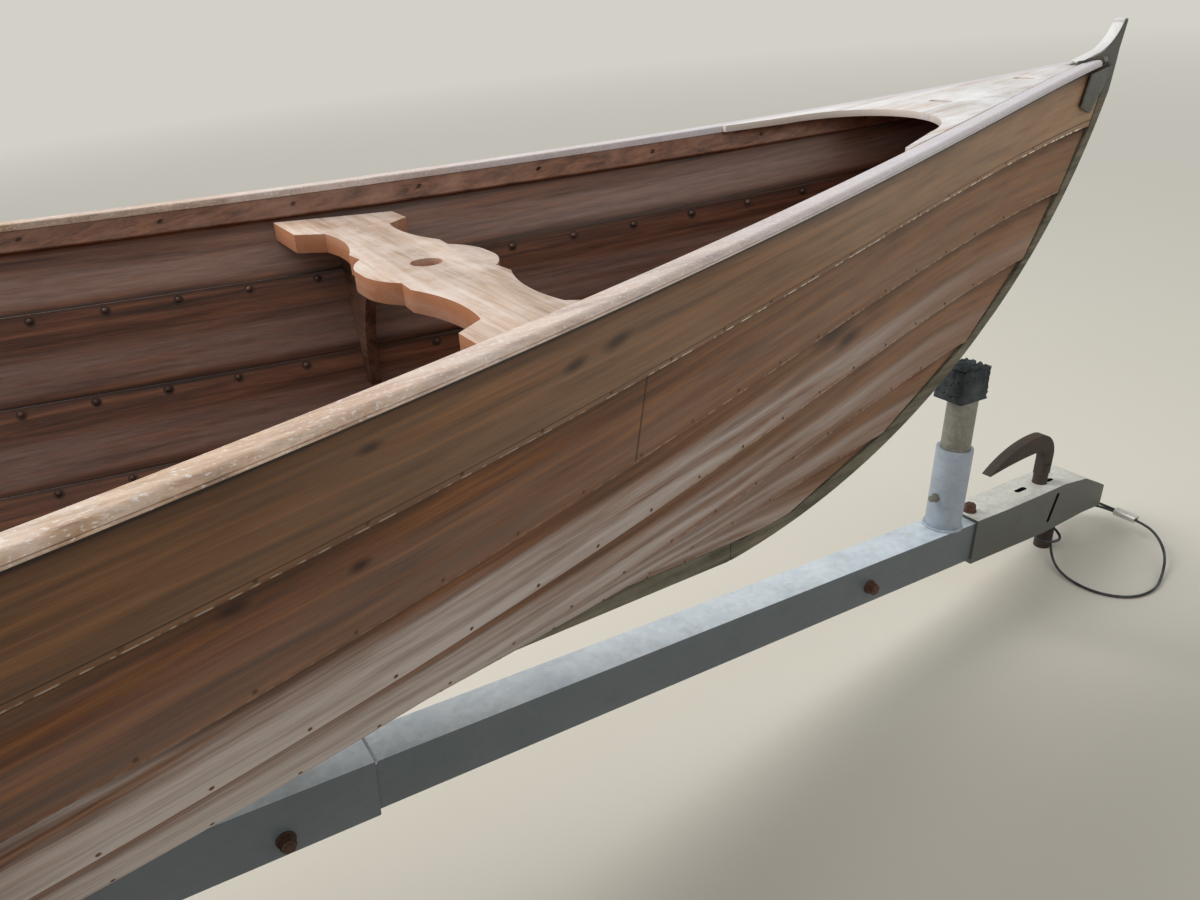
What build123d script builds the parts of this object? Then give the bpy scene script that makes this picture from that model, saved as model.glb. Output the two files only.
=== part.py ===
# Clinker rowing boat on its single-axle road trailer.
# Units are millimetres. The boat is drawn in its own frame: x forward from midships,
# y to port, z up from the underside of a straight keel. The trailer is drawn in the
# drawbar's frame: X forward from the coupling nose, Z up from the drawbar's top face.
# Both are then placed in the object frame, +X to the bow, +Y to port, floor at z = 0.
import os
from math import atan2, cos, hypot, pi, radians, sin, tan

from build123d import *

os.makedirs("parts", exist_ok=True)

# How the assembly stands
noseX = 2354.23         # coupling nose ahead of the origin
noseTop = 123.0         # drawbar top face above the floor, at the nose
barPitch = 7.0          # drawbar slopes down to its nose
boatPitch = 1.0         # the boat rises to its bow against the drawbar
boatX = -2514.0         # boat origin in the drawbar's frame
boatZ = 21.5

barPlace = Location((noseX, 0, noseTop), (0, barPitch, 0))
boatPlace = barPlace * Location((boatX, 0, boatZ), (0, -boatPitch, 0))


def save(name, *solids):
    """Write one node from one or more solids already in the object frame."""
    flat = []
    for item in solids:
        flat.extend(item.solids())
    export_step(flat[0] if len(flat) == 1 else Compound(children=flat), f"parts/{name}.step")


def inBoat(shape):
    return boatPlace * shape


def inBar(shape):
    return barPlace * shape


# Hull form. Each line runs from midships to the stem rabbet and is mirrored aft.
# Columns: name, x at the stem, z at the stem, half breadth and z amidships,
# fullness power, fineness power, power of its rise towards the ends.
hullLines = (
    ("sheer", 2263.0, 680.0, 580.0, 510.0, 1.52, 1.22, 1.82),
    ("lap1", 2238.0, 590.0, 510.0, 405.0, 1.68, 1.55, 2.0),
    ("lap2", 2190.0, 495.0, 458.0, 303.0, 1.85, 1.66, 2.0),
    ("lap3", 2130.0, 400.0, 390.0, 210.0, 1.86, 1.485, 2.0),
    ("lap4", 2019.0, 285.0, 298.0, 122.0, 1.90, 1.30, 2.0),
    ("lap5", 1851.0, 170.0, 172.0, 52.0, 2.00, 1.20, 2.0),
    ("keel", 1669.0, 79.0, 15.2, 30.0, 2.00, 1.00, 2.0),
)
keelSweep = 9.0         # extra upsweep of the lowest line where it meets the stem
sweepFrom = 0.93        # fraction of the half length where that upsweep begins
stations = (0.0, 0.22, 0.40, 0.55, 0.67, 0.77, 0.86, 0.93, 1.0)
stemHalf = 15.0         # half thickness of stem, keel and sternpost
plank = 9.0             # planking thickness
land = 14.0             # how far one strake runs up behind the next
landEnd = 3.6           # the same at the stem, and the thickness left there
hoodEnd = 5.0           # thickness of each strake's lower edge at the stem
seam = 0.45             # fitting clearance in the lands
coreHalf = 5.0          # half thickness of stem and sternpost behind the rabbet


def hullPoint(line, u):
    """Point of a hull line at the fraction u of its half length."""
    name, xEnd, zEnd, breadth, zMid, full, fine, rise = hullLines[line]
    v = abs(u)
    y = stemHalf + 0.2 + (breadth - stemHalf - 0.2) * max(0.0, 1 - v ** full) ** fine
    z = zMid + (zEnd - zMid) * v ** rise
    if name == "keel":
        z += keelSweep * max(0.0, (v - sweepFrom) / (1 - sweepFrom)) ** 2
    return xEnd * u, y, z


def unit(y, z):
    size = hypot(y, z)
    return y / size, z / size


def strakeSections(u):
    """Outline of every strake, starboard to be mirrored, as lists of (x, y, z)."""
    out = []
    points = [hullPoint(i, u) for i in range(7)]
    end = abs(u) > 0.999
    reach = landEnd if end else land
    thick = hoodEnd if end else plank
    upper = None
    for i in range(6):
        x0, y0, z0 = points[i]
        x1, y1, z1 = points[i + 1]
        if i == 0:
            ey, ez = unit(y0 - y1, z0 - z1)
            aOut = (x0, y0, z0)
            aIn = (x0, y0 - plank / max(ez, 0.3), z0)
            bOut = (x1, y1, z1)
            bIn = (x1, y1 - thick * ez, z1 + thick * ey)
            out.append([aOut, bOut, bIn, None, aIn])
        else:
            uy, uz = upper
            # inner lower corner of the strake above, and the head of the land
            cy, cz = y0 - thick * uz, z0 + thick * uy
            ty, tz = cy + reach * uy, cz + reach * uz
            cgy, cgz = cy - seam * uz, cz + seam * uy
            tgy, tgz = ty - seam * uz, tz + seam * uy
            ey, ez = unit(cgy - y1, cgz - z1)
            hollow = atan2(ey, ez) < atan2(uy, uz) - 1e-4
            if hollow:
                ey, ez = unit(tgy - y1, tgz - z1)
                # the strake above is planed to lie on this one
                ly, lz = tgy + seam * ez, tgz - seam * ey
                # solve y0 - s*uz, z0 + s*uy on the line through (ly, lz) along (ey, ez)
                det = -uz * ez - uy * ey
                s = ((ly - y0) * ez - (lz - z0) * ey) / det
                s = max(1.6, min(thick, s))
                out[-1][-3] = (x0, y0 - s * uz, z0 + s * uy)
                along = (cgy - y1) * ey + (cgz - z1) * ez
                mid = (x0, y1 + along * ey, z1 + along * ez)
            else:
                mid = (x0, cgy, cgz)
            out[-1][-2] = (x0, ty, tz)
            up = (tgy - y1) * ey + (tgz - z1) * ez
            aOut = (x0, tgy, tgz)
            aIn = (x0, y1 - thick * ez + up * ey, z1 + thick * ey + up * ez)
            left = (aOut[1] - aIn[1]) * ez - (aOut[2] - aIn[2]) * ey
            if left < 2.0 or end:
                left = landEnd if end else 2.0
                aIn = (x0, aOut[1] - left * ez, aOut[2] + left * ey)
            bOut = (x1, y1, z1)
            bIn = (x1, y1 - thick * ez, z1 + thick * ey)
            out.append([aOut, mid, bOut, bIn, None, aIn])
        upper = (ey, ez)
    out[-1].pop(4)
    if end:
        # at the stem every section lies in one plane through the y direction
        for i, section in enumerate(out):
            (xa, ya, za), (xb, yb, zb) = points[i], points[i + 1]
            lean = (xa - xb) / (za - zb)
            out[i] = [(xb + (z - zb) * lean, y, z) for x, y, z in section]
    return out


def closedWire(points):
    return Wire.make_polygon([Vector(*p) for p in points], close=True)


def bothSides(sections):
    """Ruled loft through the sections, and its mirror image to starboard."""
    port = Solid.make_loft([closedWire(s) for s in sections], ruled=True)
    return [port, port.mirror(Plane.XZ)]


allStations = [-u for u in reversed(stations[1:])] + list(stations)
sectionTable = [strakeSections(u) for u in allStations]
strakes = []
for index in range(6):
    pair = bothSides([row[index] for row in sectionTable])
    strakes.append(pair)
    save(f"strake_{index + 1}", *[inBoat(s) for s in pair])

# Backbone: rockered keel, curved stem and the same form again as sternpost. Each has
# a wide outer part and a narrow core, and the planking lies in the step between them.
keelEnd = 1560.0
keelRise = 42.6         # rocker at the keel's ends
keelDeep = 29.6         # depth of the wide part, up to the rabbet
hogDeep = 58.0          # depth to the top of the narrow core
hogHalf = 5.9           # half thickness of that core


def sideFace(*edges):
    """Closed face in the centre plane from runs of lines and three-point arcs."""
    with BuildSketch(Plane.XZ) as blank:
        with BuildLine():
            for kind, points in edges:
                if kind == "arc":
                    ThreePointArc(*points)
                else:
                    Polyline(*points)
        make_face()
    return blank.sketch


def keelFace(low, high):
    return sideFace(
        ("arc", ((-keelEnd, keelRise + low), (0, low), (keelEnd, keelRise + low))),
        ("line", ((keelEnd, keelRise + low), (keelEnd, keelRise + high))),
        ("arc", ((keelEnd, keelRise + high), (0, high), (-keelEnd, keelRise + high))),
        ("line", ((-keelEnd, keelRise + high), (-keelEnd, keelRise + low))),
    )


keelSolid = extrude(keelFace(0, keelDeep), amount=stemHalf, both=True) + extrude(
    keelFace(keelDeep, hogDeep), amount=hogHalf, both=True
)
save("keel", inBoat(keelSolid))

footLow = (keelEnd, keelRise)
footStep = (keelEnd, keelRise + keelDeep)
footTop = (keelEnd, keelRise + hogDeep)
stemHeel = (1800, 119)
knuckle = (2065, 305)
stemFlare = (2200, 475)
stemHead = (2300, 740)
# the head stands above the planking as a thin horn, hollowed along its back
hornTop = (2291, 741)
hornBack = (2268, 710)
hornFoot = (2236, 694)
hornTail = (2198, 684)
hornLow = (2260, 688)
coreBend = (2138, 520)
coreKnee = (2008, 362)
coreHeel = (1830, 204)
taperFrom, taperTo = 640, 700
hornHalf = 9.5          # half thickness of the horn
rabbet = [(line[1] + 2.6, line[2] - 0.4) for line in hullLines[:-1]]
rabbet.append((hullLines[-1][1] + 2.6, hullLines[-1][2] + keelSweep - 0.4))
rabbet.append((1584, keelRise + keelDeep + 0.6))
outerFace = sideFace(
    ("arc", (footLow, stemHeel, knuckle)),
    ("arc", (knuckle, stemFlare, stemHead)),
    ("line", (stemHead, hornTop)),
    ("arc", (hornTop, hornBack, hornFoot)),
    ("line", (hornFoot, hornTail, hornLow, *rabbet, footStep, footLow)),
)
coreFace = sideFace(
    ("line", (footTop, footStep, *reversed(rabbet), hornLow, hornTail)),
    ("arc", (hornTail, coreBend, coreKnee)),
    ("arc", (coreKnee, coreHeel, footTop)),
)
with BuildSketch(Plane.YZ) as taperFace:
    with BuildLine():
        Polyline(
            (-stemHalf, 0), (stemHalf, 0), (stemHalf, taperFrom), (hornHalf, taperTo),
            (hornHalf, stemHead[1] + 20), (-hornHalf, stemHead[1] + 20), (-hornHalf, taperTo),
            (-stemHalf, taperFrom), close=True,
        )
    make_face()
taper = Pos(keelEnd - 1, 0, 0) * extrude(taperFace.sketch, amount=stemHead[0] - keelEnd + 10)
stemSolid = (extrude(outerFace, amount=stemHalf, both=True) & taper) + extrude(
    coreFace, amount=coreHalf, both=True
)
save("stem", inBoat(stemSolid))
save("sternpost", inBoat(stemSolid.mirror(Plane.YZ)))


# Places on the planking, read off the same sections that made it
def along(index, vertex, x):
    """Point at x on the edge that one section vertex of a strake draws."""
    path = [row[index][vertex] for row in sectionTable]
    for p, q in zip(path, path[1:]):
        if p[0] <= x <= q[0]:
            k = (x - p[0]) / (q[0] - p[0])
            return p[1] + k * (q[1] - p[1]), p[2] + k * (q[2] - p[2])
    raise ValueError("x is beyond the planking")


def insideEdges(x):
    """Inner corners of the strakes at x, sheer first, and the garboard's foot."""
    return [along(i, -1, x) for i in range(6)] + [along(5, -2, x)]


def between(a, b, z):
    return a[0] + (b[0] - a[0]) * (z - a[1]) / (b[1] - a[1])


def insideY(x, z):
    """Half breadth at z that stays clear of every strake's inner corner."""
    edges = insideEdges(x)
    for a, b in zip(edges, edges[1:]):
        if b[1] <= z <= a[1]:
            return between(a, b, z)
    return edges[0][0] if z > edges[0][1] else edges[-1][0]


def topStrakeY(x, z):
    """Half breadth of the sheer strake's inner face at z."""
    return between(along(0, -1, x), along(0, -2, x), z)


def mirrored(shape):
    return [shape, shape.mirror(Plane.XZ)]


def block(x0, x1, y0, y1, z0, z1):
    return Pos((x0 + x1) / 2, (y0 + y1) / 2, (z0 + z1) / 2) * Box(x1 - x0, y1 - y0, z1 - z0)


def plate(points, z0, z1):
    """Plan outline raised from z0 to z1."""
    face = make_face(Polyline(*[(x, y, z0) for x, y in points], close=True))
    return extrude(face, amount=z1 - z0, dir=(0, 0, 1))


# Gunwale: inwale inside the sheer strake and a narrow eased cap over both
inwaleWide = 10.0
inwaleDeep = 24.0
capThick = 8.5
capOut = 3.0
capIn = 0.6
capEase = 2.8           # eased corners along the cap's top


def sheerEdge(u):
    """Outer and inner top corners of the sheer strake at any fraction, as built."""
    for i, (a, b) in enumerate(zip(allStations, allStations[1:])):
        if a <= u <= b:
            k = (u - a) / (b - a)
            ends = []
            for vertex in (0, -1):
                p, q = sectionTable[i][0][vertex], sectionTable[i + 1][0][vertex]
                ends.append(tuple(p[j] + k * (q[j] - p[j]) for j in range(3)))
            return ends
    raise ValueError("outside the hull")


def capInner(u):
    return max(sheerEdge(u)[1][1] - 0.4 - inwaleWide - capIn, coreHalf + 0.6)


inwaleRows = []
for u, row in zip(allStations, sectionTable):
    if abs(u) > 0.95:
        continue
    x, y, z = row[0][-1]
    k = inwaleDeep / (z - row[0][-2][2])
    dx, dy = (k * (row[0][-1][j] - row[0][-2][j]) for j in (0, 1))
    outerY = y - 0.4
    inwaleRows.append([
        (x, outerY, z),
        (x - dx, outerY - dy, z - inwaleDeep),
        (x - dx, outerY - dy - inwaleWide, z - inwaleDeep),
        (x, outerY - inwaleWide, z),
    ])
save("inwale", *[inBoat(s) for s in bothSides(inwaleRows)])

capStations = [-0.985] + allStations[1:-1] + [0.985]
capRows = []
for u in capStations:
    (x, yOut, z), _ = sheerEdge(u)
    low, outer, inner = z + 0.3, yOut + capOut, capInner(u)
    capRows.append([
        (x, outer, low),
        (x, outer, low + capThick - capEase),
        (x, outer - capEase, low + capThick),
        (x, inner + capEase, low + capThick),
        (x, inner, low + capThick - capEase),
        (x, inner, low),
    ])
save("gunwale_cap", *[inBoat(s) for s in bothSides(capRows)])

# Small end decks between the caps, each with a rounded mouth towards midships
deckStart = 0.735       # where the deck's two legs begin, as a fraction of half length
deckEnd = 0.965
mouthDeep = 175.0       # from the legs' tips to the end of the mouth
shoulder = 80.0         # from the legs' tips to where the mouth turns round
legTip, legRoot = 7.0, 16.0     # width of a leg at those two places
slotLong, slotWide = 36.0, 12.0
slotPlaces = (1907.0, 2082.0)
deckPlan = []
deckLow = []
for u in (deckStart, 0.77, 0.86, 0.93, deckEnd):
    (x, yOut, z), _ = sheerEdge(u)
    deckPlan.append((x, capInner(u) - 0.5))
    deckLow.append((x, z + 0.3))
deckHigh = [(x, z + capThick) for x, z in reversed(deckLow)]
deckOutline = deckPlan + [(x, -y) for x, y in reversed(deckPlan)]
deckBlank = plate(deckOutline, 400, 800)
deckBlank = deckBlank & extrude(
    sideFace(("line", (*deckLow, *deckHigh, deckLow[0]))), amount=300, both=True
)
deckX = deckPlan[0][0]
tipY = deckPlan[0][1] - legTip
rootX = deckX + shoulder
rootY = capInner(rootX / hullLines[0][1]) - legRoot
with BuildSketch(Plane.XY.offset(400)) as mouth:
    with BuildLine():
        Polyline(
            (rootX, -rootY), (deckX, -tipY), (deckX - 5, -tipY),
            (deckX - 5, tipY), (deckX, tipY), (rootX, rootY),
        )
        ThreePointArc((rootX, rootY), (deckX + mouthDeep, 0), (rootX, -rootY))
    make_face()
deckSolid = deckBlank - extrude(mouth.sketch, amount=400)
save("aft_deck", inBoat(deckSolid.mirror(Plane.YZ)))
for x in slotPlaces:
    hole = extrude(SlotOverall(slotLong, slotWide), amount=400)
    deckSolid = deckSolid - Location((x, 0, 400), (0, 0, 90)) * hole
save("fore_deck", inBoat(deckSolid))

# Thwarts with scalloped edges. Columns: node, centre x, top z, tilt, mast hole radius
mastHole = 16.5
thwartThick = 22.0
thwartHalf = 70.0
thwarts = (
    ("fore_thwart", 1150.0, 530.0, 2.0, mastHole),
    ("rowing_thwart", -120.0, 345.0, 0.0, 0.0),
    ("aft_thwart", -1100.0, 400.0, -1.0, 0.0),
)


def thwartSolid(x, z, tilt, hole, half, lobe):
    """Board whose edges swell at the middle, step, scoop in and widen at its ends."""
    low = z - thwartThick
    reach = topStrakeY if z > 500 else insideY
    drops = [tilt / 57.3 * d for d in (half, -half)]
    ends = [
        min(reach(x + d, low + t), reach(x + d, z + t)) - 0.6
        for d, t in zip((half, -half), drops)
    ]
    scoop = half - 33.0
    shape = Polygon(
        (half, -ends[0]), (half, ends[0]), (-half, ends[1]), (-half, -ends[1]), align=None
    )
    board = extrude(shape, amount=thwartThick)
    for sx in (1, -1):
        for sy in (1, -1):
            with BuildSketch() as bite:
                with BuildLine():
                    l1 = Line((sx * (half + 5), sy * lobe), (sx * (half - 20), sy * lobe))
                    l2 = Line(l1 @ 1, (sx * (half - 18), sy * (lobe + 27)))
                    l3 = ThreePointArc(
                        l2 @ 1, (sx * scoop, sy * (lobe + 82)), (sx * (half - 30), sy * (lobe + 150))
                    )
                    l4 = Line(l3 @ 1, (sx * (half + 0.5), sy * (lobe + 172)))
                    l5 = Line(l4 @ 1, (sx * (half + 5), sy * (lobe + 172)))
                    Line(l5 @ 1, l1 @ 0)
                make_face()
            board = board - Pos(0, 0, -1) * extrude(bite.sketch, amount=thwartThick + 2)
            with BuildSketch() as shoulder:
                with BuildLine():
                    c1 = ThreePointArc(
                        (sx * half, 0),
                        (sx * (half - 5), sy * lobe * 0.58),
                        (sx * (half - 21), sy * (lobe + 0.01)),
                    )
                    c2 = Line(c1 @ 1, (sx * (half + 5), sy * (lobe + 0.01)))
                    c3 = Line(c2 @ 1, (sx * (half + 5), 0))
                    Line(c3 @ 1, c1 @ 0)
                make_face()
            board = board - Pos(0, 0, -1) * extrude(shoulder.sketch, amount=thwartThick + 2)
    if hole:
        board = board - Pos(0, 0, thwartThick / 2) * Cylinder(hole, thwartThick + 2)
    return Location((x, 0, low), (0, -tilt, 0)) * board


for name, x, z, tilt, hole in thwarts:
    save(name, inBoat(thwartSolid(x, z, tilt, hole, thwartHalf, 60.0)))

# Hanging knees under the thwart ends, against the inner corners of the strakes
kneeThick = 14.0
kneeDrops = {"fore_thwart": 175.0, "rowing_thwart": 105.0, "aft_thwart": 105.0}
kneeParts = []
for name, x, z, tilt, hole in thwarts:
    head = z - thwartThick - 0.3 - abs(tilt) / 57.3 * kneeThick / 2
    foot = head - kneeDrops[name]
    sides = [insideEdges(x + d) for d in (-kneeThick / 2, kneeThick / 2)]
    edges = [(min(a[0], b[0]), a[1]) for a, b in zip(*sides) if foot + 4 < a[1] < head - 4]
    outer = [(min(insideY(x + d, head) for d in (-7, 7)) - 0.5, head)]
    outer += [(y - 0.5, zz) for y, zz in edges]
    outer.append((min(insideY(x + d, foot) for d in (-7, 7)) - 0.5, foot))
    (yTop, _), (yFoot, _) = outer[0], outer[-1]
    tip = (yFoot - 16, foot)
    end = (min(yTop - 105, yFoot - 70), head - 16)
    bend = ((tip[0] + end[0]) / 2 + 18, (tip[1] + end[1]) / 2 + 18)
    with BuildSketch(Plane.YZ) as kneeFace:
        with BuildLine():
            Polyline(*outer, tip)
            ThreePointArc(tip, bend, end)
            Polyline(end, (end[0], head), outer[0])
        make_face()
    knee = Pos(x, 0, 0) * extrude(kneeFace.sketch, amount=kneeThick / 2, both=True)
    kneeParts += mirrored(knee)
save("thwart_knees", *[inBoat(k) for k in kneeParts])

# Floor timbers bear on the inner corners, boards lie on them. Columns: x, top half width
floorTop = 104.0
floorCurve = 1.75e-5    # rise of the floor towards the ends, per millimetre squared
timberThick = 24.0
timbers = []
for x in (-1080.0, -720.0, -360.0, 0.0, 360.0, 720.0, 1080.0):
    top = floorTop + floorCurve * x * x
    edges = [p for p in insideEdges(x)[1:-1] if p[1] < top]
    reach = min(insideY(x + d, top) for d in (-12, 12)) - 2.0
    foot = hogDeep + keelRise * (x / keelEnd) ** 2 + 5.0
    low = [(y - 3.0, z) for y, z in edges]
    start = hogHalf + 8.0
    points = [(reach, top)] + low + [(start + 10, foot)]
    points += [(-y, z) for y, z in reversed(points)]
    with BuildSketch(Plane.YZ) as timberFace:
        with BuildLine():
            Polyline(*points, close=True)
        make_face()
    timbers.append(Pos(x, 0, 0) * extrude(timberFace.sketch, amount=timberThick / 2, both=True))
save("floor_timbers", *[inBoat(t) for t in timbers])

boardWide = 84.0
boardThick = 12.0
boards = []


def boardLine(half, rise):
    """Left end, middle and right end of a board's long edge, bent to the timbers."""
    return [(t, floorTop + rise + floorCurve * t * t) for t in (-half, 0.0, half)]


for y, half in ((0.0, 1090.0), (91.0, 1000.0), (182.0, 240.0)):
    under, upper = boardLine(half, 0.5), boardLine(half, 0.5 + boardThick)
    boardFace = sideFace(
        ("arc", under),
        ("line", (under[2], upper[2])),
        ("arc", upper[::-1]),
        ("line", (upper[0], under[0])),
    )
    for side in ((1,) if y == 0 else (1, -1)):
        boards.append(Pos(0, y * side, 0) * extrude(boardFace, amount=boardWide / 2, both=True))
save("floorboards", *[inBoat(t) for t in boards])

# Mast step on the keel's core, in line with the hole in the fore thwart and as raked
mastX, mastTop, mastRake = thwarts[0][1:4]
stepHalf, stepWide, stepDeep, socketDeep = 60.0, 30.0, 40.0, 30.5
seatX = mastX + (mastTop - thwartThick - hogDeep) * sin(radians(mastRake))
seatZ = hogDeep + keelRise * (seatX / keelEnd) ** 2 + 0.9
drop = (mastTop - thwartThick - seatZ) / cos(radians(mastRake))
step = block(-stepHalf, stepHalf, -stepWide, stepWide, 0, stepDeep)
step = step - Pos(0, 0, stepDeep - socketDeep / 2 + 1) * Cylinder(mastHole, socketDeep + 2)
mastLine = Location((mastX, 0, mastTop - thwartThick), (0, -mastRake, 0))
save("mast_step", inBoat(mastLine * Pos(0, 0, -drop) * step))
print("mast step below the thwart", drop)

# Rowlock blocks on the gunwale caps, each bored for a rowlock's shank
rowlockX = -470.0
rowlockBore = 6.5
blockHigh, blockHalf, blockWide = 24.0, 85.0, 15.0
rowU = rowlockX / hullLines[0][1]
blockMid = (sheerEdge(rowU)[0][1] + capOut + capInner(rowU)) / 2
capTop = [sheerEdge((rowlockX + d) / hullLines[0][1])[0][2] + 0.3 + capThick for d in (-blockHalf, blockHalf)]
blockLow = max(capTop) + 0.3
rowBlock = block(
    rowlockX - blockHalf, rowlockX + blockHalf, blockMid - blockWide, blockMid + blockWide,
    blockLow, blockLow + blockHigh,
)
rowBlock = fillet(rowBlock.edges().filter_by(Axis.Y).group_by(Axis.Z)[-1], 10)
rowBlock = rowBlock - Pos(rowlockX, blockMid, blockLow + blockHigh / 2) * Cylinder(rowlockBore, blockHigh + 2)
save("rowlock_blocks", *[inBoat(t) for t in mirrored(rowBlock)])
print("rowlock bore at", rowlockX, blockMid, blockLow + blockHigh / 2)

# Foot stretcher across the floorboards
stretcherX, stretcherLean = -760.0, 25.0
cheekLow = floorTop + 0.5 + boardThick + floorCurve * (stretcherX - 30) ** 2 + 0.4
stretcher = Location((stretcherX, 0, cheekLow + 36.2), (0, stretcherLean, 0)) * Box(18, 350, 70)
for y in (-95, 95):
    stretcher = stretcher + block(
        stretcherX - 30, stretcherX + 30, y - 9, y + 9, cheekLow, cheekLow + 26.2
    )
save("foot_stretcher", inBoat(stretcher))

print("boat written")

# Trailer, in the drawbar's frame
frontWide, frontDeep = 60.0, 73.0
wall = 3.0
sleeveWide, sleeveDeep = 70.0, 83.0
sleeveTop = 5.0


sleeveWall = 4.6
frontFrom, frontTo = -1790.0, -232.0
rearFrom, rearTo = -3090.0, -1500.0


def tube(x0, x1, wide, deep, top, thick):
    half, inside = wide / 2, wide / 2 - thick
    outer = block(x0, x1, -half, half, top - deep, top)
    return outer - block(x0 - 1, x1 + 1, -inside, inside, top - deep + thick, top - thick)


save("drawbar_front", inBar(tube(frontFrom, frontTo, frontWide, frontDeep, 0, wall)))
save("drawbar_rear", inBar(tube(rearFrom, rearTo, sleeveWide, sleeveDeep, sleeveTop, sleeveWall)))

# Coupling: a pressed housing over the tube's end with a ball socket under its nose
housingEnd = -410.0
with BuildSketch(Plane.XZ) as couplingSide:
    with BuildLine():
        Polyline((housingEnd, 6), (housingEnd, -80), (-200, -80), (-80, -70), (-22, -70))
        ThreePointArc((-22, -70), (0, -52), (-10, -32))
        Polyline(
            (-10, -32), (-43, -16), (-92, 6), (-160, 12), (-230, 9), (-330, 6), (housingEnd, 6)
        )
    make_face()
housing = extrude(couplingSide.sketch, amount=34, both=True)
with BuildSketch(Plane.XY.offset(-150)) as couplingPlan:
    with BuildLine():
        Polyline((-420, 34), (-420, -34), (-42, -34))
        ThreePointArc((-42, -34), (2, 0), (-42, 34))
        Line((-42, 34), (-420, 34))
    make_face()
housing = housing & extrude(couplingPlan.sketch, amount=200)
housing = housing - block(-411, -226, -frontWide / 2 - 0.3, frontWide / 2 + 0.3, -frontDeep - 0.3, 0.3)
housing = housing - block(-227, -88, -26, 26, -120, 3)
ballRadius = 25.4
housing = housing - Pos(-46, 0, -48) * Sphere(ballRadius) - Pos(-46, 0, -78) * Cylinder(ballRadius, 60)
spindleX, spindleR = -190.0, 13.0
housing = housing - Pos(spindleX, 0, 5) * Cylinder(spindleR + 0.4, 40)
save("coupling_housing", inBar(housing))

spindle = Pos(spindleX, 0, 5) * Cylinder(spindleR, 90)
with BuildSketch(Plane.XZ) as leverSide:
    with BuildLine():
        Polyline((-203, 30), (-177, 30), (-177, 60))
        ThreePointArc((-177, 60), (-190, 99), (-226, 116))
        ThreePointArc((-226, 116), (-302, 102), (-360, 68))
        ThreePointArc((-360, 68), (-300, 78), (-232, 84))
        ThreePointArc((-232, 84), (-210, 78), (-203, 60))
        Line((-203, 60), (-203, 30))
    make_face()
lever = spindle + extrude(leverSide.sketch, amount=9, both=True)
save("coupling_lever", inBar(lever))
footX, footR = -135.0, 16.0
footHead = block(footX - footR, footX + footR, -25.6, 25.6, -70, -8)
foot = inBar(footHead + Pos(footX, 0, -110) * Cylinder(footR, 90))
foot = foot - block(noseX - 400, noseX, -100, 100, -200, 0)
save("coupling_foot", foot)

# Bow post: outer sleeve on the bar, inner tube with a rubber block against the stem
postX = -461.0
sleeveR, innerR = 30.15, 24.15
postSleeve = Pos(postX, 0, 0.3 + 73.5) * (Cylinder(sleeveR, 147) - Cylinder(innerR + 0.3, 149))
save("post_sleeve", inBar(postSleeve))
postInner = Pos(postX, 0, 6 + 116) * (Cylinder(innerR, 232) - Cylinder(innerR - 3, 234))
save("post_inner", inBar(postInner))
snubBlock = block(-548, -432, -38, 38, 238.4, 294)
snub = inBar(fillet(snubBlock.edges().filter_by(Axis.Z), 9))
stemClear = Pos(0.4, 0, -0.4) * extrude(outerFace, amount=stemHalf + 0.6, both=True)
snub = snub - inBoat(stemClear)
save("bow_snubber", snub)

# Keel chocks on the bar, cut to the keel. Columns: place along the bar, top
chockPlaces = ((-2250.0, 43.0), (-2950.0, 33.0))
chocks = []
keelClear = inBoat(extrude(keelFace(-0.5, 90), amount=stemHalf + 0.6, both=True))
for x, top in chockPlaces:
    chocks.append(inBar(block(x - 50, x + 50, -34, 34, sleeveTop + 0.3, top)) - keelClear)
save("keel_chocks", *chocks)
print("coupling, post and chocks written")

# Axle under the bar, in the object frame
axleBack = 2870.0
wheelX = noseX - axleBack
wheelR = 281.0
wheelY = 750.0
beamX = wheelX + 153.0
beamZ = 326.0
armInset, armThick = 128.0, 18.0
armIn = wheelY - armInset
armOut = armIn + armThick
beamEnd = armIn - 0.3
beam = block(beamX - 25, beamX + 25, -beamEnd, beamEnd, beamZ - 25, beamZ + 25)
beam = beam - block(beamX - 22, beamX + 22, -beamEnd - 1, beamEnd + 1, beamZ - 22, beamZ + 22)
save("axle_beam", beam)
beamTop = beamZ + 25


def acrossY(radius, y0, y1, x, z):
    """Cylinder along y from y0 to y1."""
    return Location((x, (y0 + y1) / 2, z), (90, 0, 0)) * Cylinder(radius, y1 - y0)


stubR, shoulderR = 14.0, 17.0
shoulderEnd, stubEnd = wheelY - 50, wheelY + 36
lean = unit(beamX - wheelX, beamZ - wheelR)
with BuildSketch(Plane.XZ) as armSide:
    with BuildLine():
        Polyline(
            (beamX - 36 * lean[1], beamZ + 36 * lean[0]),
            (beamX + 36 * lean[1], beamZ - 36 * lean[0]),
            (wheelX + 30 * lean[1], wheelR - 30 * lean[0]),
            (wheelX - 30 * lean[1], wheelR + 30 * lean[0]),
            close=True,
        )
    make_face()
arm = Pos(0, armIn + armThick / 2, 0) * extrude(armSide.sketch, amount=armThick / 2, both=True)
arm = arm + acrossY(36, armIn, armOut, beamX, beamZ) + acrossY(30, armIn, armOut, wheelX, wheelR)
arm = arm + acrossY(shoulderR, armOut - 1, shoulderEnd, wheelX, wheelR)
arm = arm + acrossY(stubR, shoulderEnd - 1, stubEnd, wheelX, wheelR)
save("axle_arms", *mirrored(arm))

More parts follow.
